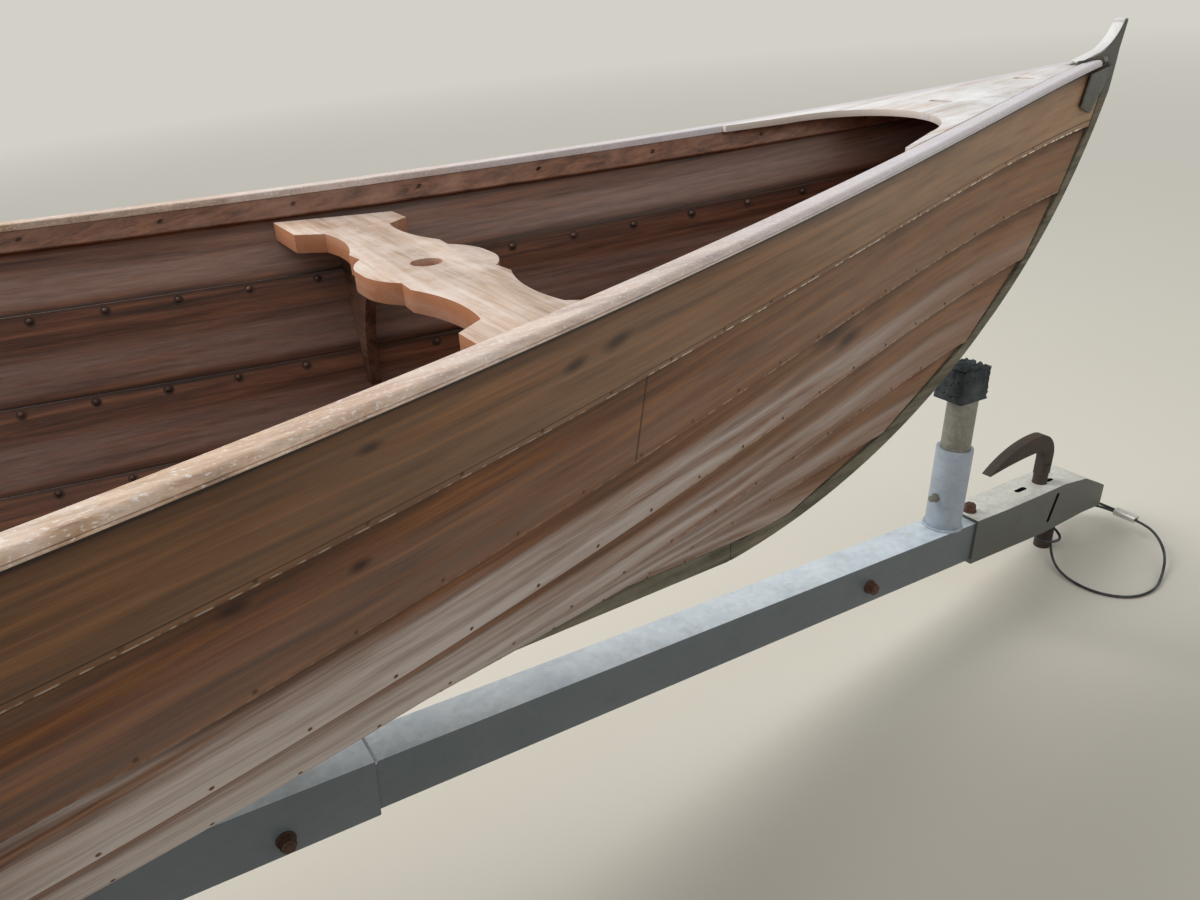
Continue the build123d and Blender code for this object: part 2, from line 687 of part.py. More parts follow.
# Saddle that carries the bar on the axle, and two U-bolts round both
saddleHalf, flangeHalf, cheekHigh = 70.0, 64.0, 75.0
slotHalf = sleeveWide / 2 + 0.3
underBar = sleeveTop - sleeveDeep - 0.3
saddle = block(beamX - saddleHalf, beamX + saddleHalf, -41, 41, beamTop + 0.3, beamTop + cheekHigh)
saddle = saddle + block(
    beamX - saddleHalf, beamX + saddleHalf, -flangeHalf, flangeHalf, beamTop + 0.3, beamTop + 6.3
)
saddle = saddle - inBar(block(rearFrom, rearTo, -slotHalf, slotHalf, underBar, 60))
hollow = block(beamX - 80, beamX + 80, -slotHalf, slotHalf, beamTop + 6.3, beamTop + 100)
bearer = inBar(block(rearFrom, rearTo, -slotHalf - 1, slotHalf + 1, underBar - 5, underBar))
saddle = saddle - (hollow - bearer)
boltR, boltHalf, boltBend, boltTail = 5.0, 50.0, 8.0, 14.0
bolts = []
for x in (beamX - 48, beamX + 48):
    barTop = noseTop + (sleeveTop - (x - noseX) * sin(radians(barPitch))) / cos(radians(barPitch))
    over, tail = barTop + boltR + 0.5, beamTop - boltTail
    corners = [(x, -boltHalf, tail), (x, -boltHalf, over), (x, boltHalf, over), (x, boltHalf, tail)]
    boltPath = FilletPolyline(*corners, radius=boltBend)
    boltStart = Plane(origin=boltPath @ 0, z_dir=boltPath % 0)
    bolt = sweep(boltStart * RegularPolygon(boltR, 8), path=boltPath)
    for y in (-boltHalf, boltHalf):
        saddle = saddle - Pos(x, y, beamTop) * Cylinder(boltR + 0.4, 30)
        bolt = bolt + Pos(x, y, beamTop - 4) * Cylinder(8.5, 8)
    bolts.append(bolt)
save("axle_saddle", saddle)
save("saddle_bolts", *bolts)

# Side supports on the axle, each with a rubber pad against the fourth strake
supportX = (boatPlace.inverse() * Location((beamX, 0, 600))).position.X


def padQuad(x, near, far, low, high):
    """Section at x of a slab lying near..far outside the fourth strake."""
    a, b = along(3, 1, x), along(3, 2, x)
    ey, ez = unit(a[0] - b[0], a[1] - b[1])
    out = []
    for share, gapOut in ((low, near), (high, near), (high, far), (low, far)):
        y = b[0] + share * (a[0] - b[0]) + gapOut * ez
        z = b[1] + share * (a[1] - b[1]) - gapOut * ey
        out.append((x, y, z))
    return out


def padSlab(half, near, far, low, high):
    rows = [closedWire(padQuad(supportX + d, near, far, low, high)) for d in (-half, half)]
    return inBoat(Solid.make_loft(rows, ruled=True))


pad = padSlab(60, 0.6, 22, 0.15, 0.85)
padPlate = padSlab(60, 22.3, 28.3, 0.15, 0.85)
padMid = padPlate.center()
upright = block(beamX - 18, beamX + 18, padMid.Y - 18, padMid.Y + 18, beamTop + 0.3, 720)
upright = upright - block(beamX - 15, beamX + 15, padMid.Y - 15, padMid.Y + 15, beamTop, 721)
upright = upright - padSlab(110, -260, 28.2, -2.5, 3.5)
upright = upright.solids().sort_by(Axis.Z)[0] + padPlate
save("side_supports", *mirrored(upright))
save("support_pads", *mirrored(pad))
print("axle and supports written")

# Wheels, drawn about y with the outside to +y. Profiles as (radius, y)
tyreEdge = [(165.6, 54), (222, 73), (wheelR, 50)]
rimProfile = [
    (161.5, -61.6), (177.5, -61.6), (177.5, -58.6), (165.2, -58.6),
    (165.2, 58.6), (177.5, 58.6), (177.5, 61.6), (161.5, 61.6),
]
discProfile = [
    (28.5, 30), (76, 30), (112, 40), (138, 6), (163, 6),
    (163, 11), (141, 11), (115, 44), (75, 34), (28.5, 34),
]


def turned(profile):
    with BuildSketch() as half:
        with BuildLine():
            Polyline(*profile, close=True)
        make_face()
    return revolve(half.sketch, Axis.Y, 360)


tyre = turned(tyreEdge + [(radius, -y) for radius, y in reversed(tyreEdge)])
rim = turned(rimProfile) + turned(discProfile)
for i in range(8):
    angle = radians(22.5 + 45 * i)
    rim = rim - acrossY(11, 25, 60, 97 * cos(angle), 97 * sin(angle))
hub = turned([
    (14.5, -46), (30, -46), (34, 18), (62, 20), (62, 29.7), (28, 29.7),
    (28, 46), (25, 66), (0, 68), (0, 40), (14.5, 40),
])
for side, turn in (("left", 1), ("right", -1)):
    for piece, shape in (("tyre", tyre), ("rim", rim), ("hub", hub)):
        placed = Pos(wheelX, wheelY, wheelR) * shape
        save(f"{piece}_{side}", placed if turn == 1 else placed.mirror(Plane.XZ))

# Mudguards with an inner skirt and an outer lip, on flat stays from the axle
guardR = 321.0
guardIn, guardOut = wheelY - 85, wheelY + 95


def aboveWheel(shape, rise):
    low, high = wheelR + rise, wheelR + 400
    return shape & block(wheelX - 400, wheelX + 400, guardIn - 5, guardOut + 5, low, high)


def aroundWheel(radius, y0, y1):
    return acrossY(radius, y0, y1, wheelX, wheelR)


sheet = aroundWheel(guardR, guardIn, guardOut) - aroundWheel(guardR - 3, guardIn - 1, guardOut + 1)
lip = aroundWheel(guardR - 1, guardOut - 3, guardOut)
lip = lip - aroundWheel(guardR - 25, guardOut - 4, guardOut + 1)
skirt = aroundWheel(guardR - 1, guardIn, guardIn + 3)
guard = aboveWheel(sheet, 36) + aboveWheel(skirt, 150) + aboveWheel(lip, 36)
save("mudguards", *mirrored(guard))
stayY, stayTop = 570.0, 535.0
stay = block(beamX - 15, beamX + 15, stayY, stayY + 6, beamTop + 0.3, stayTop)
stay = stay + block(wheelX - 140, beamX, stayY, stayY + 6, stayTop - 30, stayTop)
for x in (beamX, wheelX - 125):
    stay = stay + block(x - 15, x + 15, stayY, guardIn - 0.3, stayTop - 6, stayTop)
    stay = stay + block(x - 15, x + 15, guardIn - 4.3, guardIn - 0.3, stayTop - 30, stayTop)
save("mudguard_stays", *mirrored(stay))
print("wheels written")

# Stem-head plates over the planking's ends. Corners as (x, z)
plateCorners = ((2192, 666), (2188, 621), (2224, 610), (2272, 677))
plateRows = []
for u in (0.93, 1.0, 1.012):
    (xa, ya, za), (xb, yb, zb) = hullPoint(0, min(u, 1)), hullPoint(1, min(u, 1))
    xa, xb = hullLines[0][1] * u, hullLines[1][1] * u
    plateRows.append([
        (xa, ya + 0.7, za + 4), (xb, yb + 0.7, zb), (xb, yb + 3.7, zb), (xa, ya + 3.7, za + 4),
    ])
plateSkin = Solid.make_loft([closedWire(r) for r in plateRows], ruled=True)
with BuildSketch(Plane.XZ) as plateSide:
    with BuildLine():
        Polyline(*plateCorners, close=True)
    make_face()
stemPlate = plateSkin & extrude(plateSide.sketch, amount=60, both=True)
save("stem_plates", *[inBoat(t) for t in mirrored(stemPlate)])

# Safety cable: an eye round the coupling's foot, a ferrule, and a loop on the floor.
# Columns: distance ahead of the nose, y, height above the floor
cableR = 2.5
cableRoute = (
    (0.1, -62, 39), (0.1, -36, 39), (-1, -5, 40), (-26, 33, 41), (-90, 31.5, 38),
    (-166.3, 18.7, 33), (-183.6, -11.2, 32), (-176, -38, 33), (-145.8, -38, 33),
    (-106.8, 36, 30), (-26, 38, 33), (-9, 0, 34), (-6.1, -36.6, 39), (-6.1, -112, 39),
    (-18, -147, 33), (-44, -179, 19), (-85, -200, 7), (-135, -217, 2.9), (-185, -205, 2.9),
    (-216, -165, 3.0), (-222, -115, 3.2), (-210, -72, 6), (-184, -40, 14), (-160, -22, 21),
)
cablePoints = [Vector(noseX + x, y, z) for x, y, z in cableRoute]
cableArcs = []
for a, b, c in zip(cablePoints, cablePoints[1:], cablePoints[2:]):
    turn = radians((b - a).get_angle(c - b))
    cableArcs.append(0.45 * min((b - a).length, (c - b).length) / tan(turn / 2))
print("cable arcs", [round(r) for r in cableArcs])
cablePath = FilletPolyline(*cablePoints, radius=cableArcs)
cableStart = Plane(origin=cablePath @ 0, z_dir=cablePath % 0)
cable = sweep(cableStart * RegularPolygon(cableR, 8), path=cablePath)
print("cable length", cablePath.length, "volume", cable.volume)
save("safety_cable", cable)
ferrule = block(noseX - 12.5, noseX + 6.5, -94.5, -53, 32.5, 45.5)
ferrule = fillet(ferrule.edges().filter_by(Axis.Y), 6)
slot = block(noseX - 8.9, noseX + 2.9, -96, -52, 36.2, 41.8)
slot = fillet(slot.edges().filter_by(Axis.Y), 2.7)
save("cable_ferrule", ferrule - slot)
print("all written")
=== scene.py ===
import math
import random

import bmesh
import bpy
from mathutils import Matrix, Vector


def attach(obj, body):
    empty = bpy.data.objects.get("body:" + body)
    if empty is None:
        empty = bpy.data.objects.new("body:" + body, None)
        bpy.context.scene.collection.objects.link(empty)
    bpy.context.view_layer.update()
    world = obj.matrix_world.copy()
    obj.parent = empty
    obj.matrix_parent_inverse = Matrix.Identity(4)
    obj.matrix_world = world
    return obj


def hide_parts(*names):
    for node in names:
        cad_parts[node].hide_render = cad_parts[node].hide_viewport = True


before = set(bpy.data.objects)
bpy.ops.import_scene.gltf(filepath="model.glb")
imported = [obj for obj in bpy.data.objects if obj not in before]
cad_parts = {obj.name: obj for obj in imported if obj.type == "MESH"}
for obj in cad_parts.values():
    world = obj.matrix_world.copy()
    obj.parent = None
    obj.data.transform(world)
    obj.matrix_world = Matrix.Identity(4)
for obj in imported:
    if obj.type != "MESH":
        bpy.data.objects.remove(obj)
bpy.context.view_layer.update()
boatBody = "boat_on_trailer"
print("frame loaded")

# Where boat and trailer stand, in metres: the drawbar slopes to its nose, the boat rises on it
placing = {"noseX": 2.35423, "noseTop": 0.123, "barPitch": 7.0,
           "boatPitch": 1.0, "boatX": -2.514, "boatZ": 0.0215}
barMatrix = Matrix.Translation((placing["noseX"], 0, placing["noseTop"])) @ Matrix.Rotation(
    math.radians(placing["barPitch"]), 4, "Y")
boatMatrix = barMatrix @ Matrix.Translation((placing["boatX"], 0, placing["boatZ"])) @ Matrix.Rotation(
    math.radians(-placing["boatPitch"]), 4, "Y")

# Camera at the photograph's viewing angle
cameraSetting = {
    "place": (0.7329, -0.895, 1.1140), "lens": 28.05, "filmWidth": 36.0,
    "right": (0.8390, -0.5340, -0.1050), "up": (0.3297, 0.3450, 0.8788), "back": (-0.4330, -0.7719, 0.4655),
}
cameraData = bpy.data.cameras.new("camera")
cameraData.lens = cameraSetting["lens"]
cameraData.sensor_width = cameraSetting["filmWidth"]
camera = bpy.data.objects.new("camera", cameraData)
bpy.context.scene.collection.objects.link(camera)
columns = [Vector(cameraSetting[k]).normalized() for k in ("right", "up", "back")]
camera.matrix_world = Matrix([
    [columns[0][i], columns[1][i], columns[2][i], cameraSetting["place"][i]] for i in range(3)
] + [[0, 0, 0, 1]])
bpy.context.scene.camera = camera


def colour(hexText):
    # sRGB hex to linear colour
    parts = [int(hexText[i:i + 2], 16) / 255 for i in (1, 3, 5)]
    return [p / 12.92 if p <= 0.04045 else ((p + 0.055) / 1.055) ** 2.4 for p in parts] + [1.0]


# Short names for the nodes in use: type, settings, the inputs that the values go to, and the output
nodeKinds = {
    "times": ("ShaderNodeMath", {"operation": "MULTIPLY"}, (0, 1), 0),
    "plus": ("ShaderNodeMath", {"operation": "ADD"}, (0, 1), 0),
    "minus": ("ShaderNodeMath", {"operation": "SUBTRACT"}, (0, 1), 0),
    "over": ("ShaderNodeMath", {"operation": "DIVIDE"}, (0, 1), 0),
    "lesser": ("ShaderNodeMath", {"operation": "MINIMUM"}, (0, 1), 0),
    "root": ("ShaderNodeMath", {"operation": "SQRT"}, (0,), 0),
    "unsigned": ("ShaderNodeMath", {"operation": "ABSOLUTE"}, (0,), 0),
    "range": ("ShaderNodeMapRange", {}, (0, 1, 2, 3, 4), 0),
    "ramp": ("ShaderNodeValToRGB", {}, ("Fac",), 0),
    "tint": ("ShaderNodeMix", {"data_type": "RGBA"}, (0, 6, 7), 2),
    "darken": ("ShaderNodeMix", {"data_type": "RGBA", "blend_type": "MULTIPLY"}, (0, 6, 7), 2),
    "noise": ("ShaderNodeTexNoise", {}, ("Vector", "Scale", "Detail", "Roughness", "Distortion"), 0),
    "cells": ("ShaderNodeTexVoronoi", {}, ("Vector", "Scale"), "Color"),
    "stretch": ("ShaderNodeMapping", {}, ("Vector", "Scale"), 0),
    "parts": ("ShaderNodeSeparateXYZ", {}, (0,), None),
    "channels": ("ShaderNodeSeparateColor", {}, (0,), None),
    "object": ("ShaderNodeTexCoord", {}, (), "Object"),
    "map": ("ShaderNodeUVMap", {}, (), 0),
    "mark": ("ShaderNodeAttribute", {"attribute_type": "GEOMETRY"}, (), "Fac"),
    "bump": ("ShaderNodeBump", {}, ("Height", "Strength", "Distance"), 0),
}


def add(tree, kind, *values, stops=None, **settings):
    # one node, by a short name with its values in order, or by its type with a dictionary of inputs
    nodeType, preset, places, output = nodeKinds.get(kind, (kind, {}, (), None))
    node = tree.nodes.new(nodeType)
    for key, value in {**preset, **settings}.items():
        setattr(node, key, value)
    for key, value in (zip(places, values) if places else dict(*values).items()):
        socket = node.inputs[key]
        if isinstance(value, bpy.types.Node):
            value = value.outputs[0]
        if isinstance(value, bpy.types.NodeSocket):
            tree.links.new(value, socket)
        elif socket.type == "RGBA" and isinstance(value, str):
            socket.default_value = colour(value)
        else:
            socket.default_value = value
    if stops:
        ramp = node.color_ramp
        while len(ramp.elements) < len(stops):
            ramp.elements.new(0.5)
        for element, (place, shade) in zip(ramp.elements, stops):
            element.position = place
            element.color = colour(shade) if isinstance(shade, str) else (shade, shade, shade, 1)
    return node if output is None else node.outputs[output]


def startMaterial(name, metallic=0.0, roughness=0.5, coat=0.0, specular=0.4):
    material = bpy.data.materials.new(name)
    material.use_nodes = True
    tree = material.node_tree
    shader = tree.nodes["Principled BSDF"]
    for key, value in (("Metallic", metallic), ("Roughness", roughness), ("Specular IOR Level", specular),
                       ("Coat Weight", coat), ("Coat Roughness", 0.25)):
        shader.inputs[key].default_value = value
    return material, tree, shader


def finish(tree, shader, base, height, strength=0.25, distance=0.001, rough=None):
    tree.links.new(base, shader.inputs["Base Color"])
    tree.links.new(add(tree, "bump", height, strength, distance), shader.inputs["Normal"])
    if rough is not None:
        tree.links.new(rough, shader.inputs["Roughness"])


# Wood: length and width of its marks in millimetres. Real pores are a tenth as wide, too fine to show.
grainSize = {
    "figure": (222.22, 10.526), "pores": (29.412, 2.3256), "patches": (625.0, 100.0),
    "wobble": (111.11, 16.667), "paleWash": (625.0, 33.333), "highlightDashes": (10.526, 333.33), "wear": (90.909, 90.909),
    "dustAndSheen": (500.0, 21.739), "scratches": (33.333, 3.8462), "specks": (4.3478, 1.9231),
}
# Where the weathering and the painted shade, reflections and highlights change, in metres forward of the
# boat's middle
weatherAndLight = {"dark": (0.3, 1.3), "bleached": (0.5, 2.2), "edgeHighlight": (1.15, 1.4), "silvered": (0.65, 1.55),
           "reflectionStarts": (0.30, 0.75), "reflectionFalls": (0.75, 1.35), "reflectionEnds": (1.45, 2.0)}
# Distances from a plank's edges in metres: grime and painted shade under the lap, its painted shadow line, a
# scribed bead, a painted highlight on the arris and a butt, and on the inside where the dust and painted sheen
# start and the painted shade along the laps ends
edgeMarks = {"grimeAndShade": (0.002, 0.022), "shadow": (0.0030, 0.0052), "bead": 0.0095,
             "beadWide": (0.0004, 0.0013), "paleMarks": (0.0022, 0.0034), "butt": (0.0006, 0.0018),
             "dustAndSheenStarts": (0.004, 0.014), "insideLapShade": (0.003, 0.010)}


def grained(tree, source, pattern, run, detail, roughness, distortion=0.0):
    # noise drawn out along the grain: run is the axis it follows, or "map" on the planking
    long, wide = (1000 / millimetres for millimetres in grainSize[pattern])
    scale = {"map": (long, wide, 1), "x": (long, wide, wide), "y": (wide, long, wide)}[run]
    return add(tree, "noise", add(tree, "stretch", source, scale), 1.0, detail, roughness, distortion)


def woodMaterial(name, look, run="map"):
    # broad patches, long figure and open pores in three shades of one timber
    material, tree, shader = startMaterial(
        name, 0.0, look["roughness"], look.get("coat", 0.0), look.get("shine", 0.4))
    source = add(tree, "map", uv_map="grain") if run == "map" else add(tree, "object")
    figure = grained(tree, source, "figure", run, 5.0, 0.6, 0.6)
    pores = grained(tree, source, "pores", run, 3.0, 0.7)
    patches = grained(tree, source, "patches", run, 3.0, 0.6, 0.8)
    base = add(tree, "ramp", figure, stops=[(0.30, look["dark"]), (0.50, look["mid"]), (0.70, look["light"])])
    base = add(tree, "darken", 0.75, base, add(tree, "ramp", patches, stops=[(0.35, 0.66), (0.65, 1.0)]))
    poreTone = add(tree, "ramp", pores, stops=[(0.36, 0.55), (0.52, 1.0)])
    base = add(tree, "darken", look["pores"], base, poreTone)
    return material, tree, shader, source, base, figure, pores, patches


def plankOutside(name, look, reflectionShare, knots=(), bead=False, butts=()):
    # mahogany planking under old varnish: grain streaks, dirt and painted shade under the laps, a pale painted
    # reflection of the floor on the lower half
    material, tree, shader, source, base, figure, pores, _ = woodMaterial(name, look)
    fromTop, fromFoot, _ = add(tree, "parts", add(tree, "map", uv_map="edges")).outputs
    along, around, _ = add(tree, "parts", source).outputs
    wobble = grained(tree, source, "wobble", "map", 4.0, 0.6)
    # painted shade: the planking is darker amidships and aft
    shade = add(tree, "ramp", add(tree, "range", along, *weatherAndLight["dark"]), stops=[(0.0, 0.52), (1.0, 1.0)])
    base = add(tree, "darken", 1.0, base, shade)
    # paler towards the bow: a painted reflection of light at grazing angles, in the colour of bleached varnish
    bleached = add(tree, "times", add(tree, "range", along, *weatherAndLight["bleached"], 0.0, look["bleachShare"]),
                   add(tree, "range", wobble, 0.3, 0.6, 0.55, 1.0))
    base = add(tree, "tint", bleached, base, look["bleach"])
    # the painted reflection of the floor covers the whole plank amidships and draws down to its lower edge
    # towards the bow
    streaks = grained(tree, source, "paleWash", "map", 6.0, 0.68, 0.4)
    share = add(tree, "over", fromTop, add(tree, "plus", fromTop, add(tree, "plus", fromFoot, 0.0001)))
    rise = add(tree, "range", along, *weatherAndLight["reflectionFalls"], 0.42, 0.0)
    low = add(tree, "plus", add(tree, "plus", share, rise), add(tree, "times", streaks, 0.6))
    alongReflection = add(tree, "times", add(tree, "range", along, *weatherAndLight["reflectionStarts"], 0.35, 1.0),
                     add(tree, "range", along, *weatherAndLight["reflectionEnds"], 1.0, 0.25))
    paleWash = add(tree, "times", add(tree, "times", add(tree, "range", low, 0.66, 0.98), alongReflection),
                add(tree, "range", streaks, 0.34, 0.60, 0.0, reflectionShare))
    base = add(tree, "tint", paleWash, base, look["haze"])
    for place in butts:
        away = add(tree, "unsigned", add(tree, "minus", along, place))
        base = add(tree, "tint", add(tree, "range", away, *edgeMarks["butt"], 0.75, 0.0), base, look["seam"])
    for x, y, long, wide in knots:
        # a knot: dark oval with a soft, uneven rim
        dx = add(tree, "times", add(tree, "minus", along, x), 1 / long)
        dy = add(tree, "times", add(tree, "minus", around, y), 1 / wide)
        away = add(tree, "root", add(tree, "plus", add(tree, "times", dx, dx), add(tree, "times", dy, dy)))
        rim = add(tree, "plus", away, add(tree, "times", wobble, 0.5))
        base = add(tree, "tint", add(tree, "range", rim, 0.6, 1.5, 0.8, 0.0), base, look["knot"])
    # grime and painted shade that creep out from under the lap, then the lap's painted shadow line
    loose = add(tree, "times", add(tree, "minus", wobble, 0.5), 0.004)
    creeping = add(tree, "plus", fromTop, add(tree, "times", loose, 4.0))
    base = add(tree, "tint", add(tree, "range", creeping, *edgeMarks["grimeAndShade"], 0.65, 0.0), base, look["seam"])
    shadow = add(tree, "range", add(tree, "plus", fromTop, loose), *edgeMarks["shadow"], 0.97, 0.0)
    base = add(tree, "tint", shadow, base, look["seam"])
    if bead:
        # scribed line along the foot of the sheer strake
        away = add(tree, "unsigned", add(tree, "minus", fromFoot, edgeMarks["bead"]))
        line = add(tree, "range", away, *edgeMarks["beadWide"], 0.85, 0.0)
        base = add(tree, "tint", line, base, look["seam"])
    # painted highlight along the lower arris in short dashes, stronger towards the bow
    arris = add(tree, "times", add(tree, "range", fromFoot, *edgeMarks["paleMarks"], 1.0, 0.0),
                add(tree, "range", along, *weatherAndLight["edgeHighlight"], 0.3, 1.0))
    highlightDashes = grained(tree, source, "highlightDashes", "map", 2.0, 0.5)
    dashes = add(tree, "range", highlightDashes, 0.47, 0.56, 0.0, look["highlightShare"])
    base = add(tree, "tint", add(tree, "times", arris, dashes), base, look["edge"])
    rough = add(tree, "range", paleWash, 0.0, 0.5, look["roughness"], min(0.85, look["roughness"] + 0.25))
    finish(tree, shader, base, add(tree, "plus", pores, figure), 0.22, 0.0009, rough)
    return material


def plankInside(name, look):
    # inside of the planking: dark old varnish, a pinkish film of dust and painted sheen on the lower part of
    # each strake, painted shade along the laps
    material, tree, shader, source, base, figure, pores, _ = woodMaterial(name, look)
    fromLap, fromHead, _ = add(tree, "parts", add(tree, "map", uv_map="edges")).outputs
    nearer = add(tree, "lesser", fromLap, fromHead)
    streaks = grained(tree, source, "dustAndSheen", "map", 6.0, 0.7, 0.3)
    scratches = grained(tree, source, "scratches", "map", 3.0, 0.7)
    share = add(tree, "over", fromLap, add(tree, "plus", fromHead, add(tree, "plus", fromLap, 0.0001)))
    low = add(tree, "minus", share, add(tree, "times", streaks, 0.5))
    held = add(tree, "times", add(tree, "range", low, 0.10, 0.45, 1.0, 0.0),
               add(tree, "range", nearer, *edgeMarks["dustAndSheenStarts"]))
    film = add(tree, "plus", add(tree, "times", streaks, 0.7), add(tree, "times", scratches, 0.3))
    dustAndSheenMask = add(tree, "times", held, add(tree, "range", film, 0.36, 0.60, 0.15, look["dustAndSheen"]))
    base = add(tree, "tint", dustAndSheenMask, base, look["haze"])
    # painted shade along the laps, darkest at each edge of the strake
    creeping = add(tree, "plus", nearer, add(tree, "times", figure, 0.006))
    lapShade = add(tree, "range", creeping, *edgeMarks["insideLapShade"], 0.85, 0.0)
    base = add(tree, "tint", lapShade, base, look["seam"])
    finish(tree, shader, base, add(tree, "plus", pores, figure), 0.25, 0.0009)
    return material


def plainWood(name, look, run, edge=None, head=None):
    # bare or worn wood on a piece cut from one board; edge darkens or warms the cut sides
    material, tree, shader, source, base, figure, pores, patches = woodMaterial(name, look, run)
    paleMarks = grained(tree, source, "wear", run, 6.0, 0.7)
    base = add(tree, "tint", add(tree, "range", paleMarks, 0.46, 0.66, 0.0, look["wear"]), base, look["haze"])
    if "bleach" in look:
        # silvered towards the bow, with pale speckles where the finish has lifted
        along = add(tree, "parts", source).outputs[0]
        silver = add(tree, "range", along, *weatherAndLight["silvered"], 0.0, 0.85)
        base = add(tree, "tint", silver, base, look["bleach"])
        specks = grained(tree, source, "specks", "x", 2.0, 0.6)
        base = add(tree, "tint", add(tree, "range", specks, 0.58, 0.68, 0.0, 0.5), base, look["speck"])
    if edge or head:
        flat = add(tree, "mark", attribute_name="upright")
    if edge:
        sides = add(tree, "times", add(tree, "range", flat, 0.45, 0.8, 1.0, 0.0),
                    add(tree, "range", patches, 0.35, 0.6, 0.35, 0.9))
        base = add(tree, "tint", sides, base, edge)
    if head:
        # above the planking: darkened sides and a top worn pale, from these heights in metres
        high = add(tree, "range", add(tree, "mark", attribute_name="high"), *head["from"])
        base = add(tree, "tint", add(tree, "times", high, 0.85), base, head["sides"])
        top = add(tree, "times", add(tree, "range", flat, 0.25, 0.5),
                  add(tree, "range", patches, 0.3, 0.55, 0.6, 1.0))
        base = add(tree, "tint", add(tree, "times", high, top), base, head["top"])
    finish(tree, shader, base, add(tree, "plus", pores, figure), 0.3, 0.0008)
    return material


# Metal: cloudy dulling, grit and streaks of dirt in millimetres; real grit is finer than the render shows
metalSize = {"cloud": 142.86, "grit": 3.8462, "streak": (71.429, 71.429, 25.0)}


def metalMaterial(name, look):
    # look: clean, dull and dirt colours; cell is the size of a spangle or a grain of rust in millimetres
    material, tree, shader = startMaterial(name, metallic=look["metallic"], roughness=look["roughness"])
    source = add(tree, "object")
    spangle = add(tree, "channels", add(tree, "cells", source, 1000 / look["cell"])).outputs
    cloud = add(tree, "noise", source, 1000 / metalSize["cloud"], 6.0, 0.65)
    grit = add(tree, "noise", source, 1000 / metalSize["grit"], 5.0, 0.7)
    tint = add(tree, "plus", add(tree, "times", spangle[0], 0.15), add(tree, "times", cloud, 0.85))
    base = add(tree, "ramp", tint, stops=[(0.30, look["dull"]), (0.62, look["clean"])])
    streak = add(tree, "stretch", source, [1000 / s for s in metalSize["streak"]])
    dirt = add(tree, "noise", streak, 1.0, 6.0, 0.7)
    base = add(tree, "tint", add(tree, "range", dirt, 0.52, 0.72, 0.0, look["dirtShare"]), base, look["dirt"])
    # upright sides painted darker: painted shade, as if the light fell from above
    if "side" in look:
        flat = add(tree, "mark", attribute_name="upright")
        sides = add(tree, "range", flat, 0.35, 0.8, look["sideShade"], 0.0)
        base = add(tree, "tint", sides, base, look["side"])
    rough = add(tree, "range", grit, 0.3, 0.7, look["roughness"] - 0.08, look["roughness"] + 0.12)
    relief = add(tree, "plus", grit, add(tree, "times", spangle[1], 0.3))
    finish(tree, shader, base, relief, look["bump"], 0.0006, rough)
    return material


# Rubber: patches of grey bloom and a moulded grit, in millimetres; real grit is finer than the render shows
rubberSize = {"paleWash": 33.333, "grit": 2.381}


def rubberMaterial(name, look):
    # moulded black rubber: grey bloom, scuffs
    material, tree, shader = startMaterial(name, roughness=look["roughness"], specular=0.35)
    source = add(tree, "object")
    patches = add(tree, "noise", source, 1000 / rubberSize["paleWash"], 6.0, 0.7)
    grit = add(tree, "noise", source, 1000 / rubberSize["grit"], 4.0, 0.7)
    base = add(tree, "ramp", patches, stops=[(0.40, look["dark"]), (0.72, look["paleWash"])])
    finish(tree, shader, base, add(tree, "plus", grit, patches), 0.3, 0.0008)
    return material


# Planking, knots given as metres along and round the plank, then their length and width.
# Sheer strake: mahogany oiled honey brown, little painted reflection, a white painted highlight along its foot
sheerLook = {"dark": "#391B0A", "mid": "#70421C", "light": "#976032", "haze": "#A9917A", "seam": "#24150C",
             "knot": "#2A1A12", "edge": "#F0E2D2", "highlightShare": 1.0, "bleach": "#AC8C6E", "bleachShare": 0.8,
             "roughness": 0.42, "coat": 0.04, "shine": 0.25, "pores": 0.5}
# Lower strakes: redder mahogany under cracked varnish, pale with a painted reflection of the floor
plankLook = {"dark": "#371705", "mid": "#6E3A12", "light": "#965A20", "haze": "#B9ADA6", "seam": "#20120A",
             "knot": "#24140D", "edge": "#B89A80", "highlightShare": 0.55, "bleach": "#94745A", "bleachShare": 0.7,
             "roughness": 0.42, "coat": 0.04, "shine": 0.25, "pores": 0.55}
plankSheer = plankOutside("varnished_mahogany_sheer_strake", sheerLook, 0.06, bead=True, knots=(
    (1.13, 0.046, 0.013, 0.009), (1.175, 0.042, 0.016, 0.010), (0.95, 0.03, 0.010, 0.006),
    (0.72, 0.06, 0.012, 0.007), (0.35, 0.04, 0.016, 0.008), (-0.5, 0.05, 0.018, 0.009)))
plankUpper = plankOutside("varnished_mahogany_upper_plank", plankLook, 0.12, butts=(1.25, -0.66), knots=(
    (0.86, 0.03, 0.012, 0.006), (0.95, 0.05, 0.010, 0.006), (0.55, 0.02, 0.014, 0.007)))
plankReflecting = plankOutside("mahogany_lower_planks_painted_reflection", plankLook, 1.0)
# a dark smudge towards the bow
plankSmudged = plankOutside("mahogany_third_plank_painted_reflection", dict(plankLook, knot="#33241B"), 1.0, (
    (1.62, 0.026, 0.045, 0.018), (1.66, 0.050, 0.030, 0.012)))
# a reddish patch rubbed bare beside the bow post
plankRubbed = plankOutside("mahogany_rubbed_at_post_painted_reflection", dict(plankLook, knot="#6A2C1A"), 1.0, (
    (1.90, 0.010, 0.050, 0.030), (1.84, 0.016, 0.030, 0.016)))
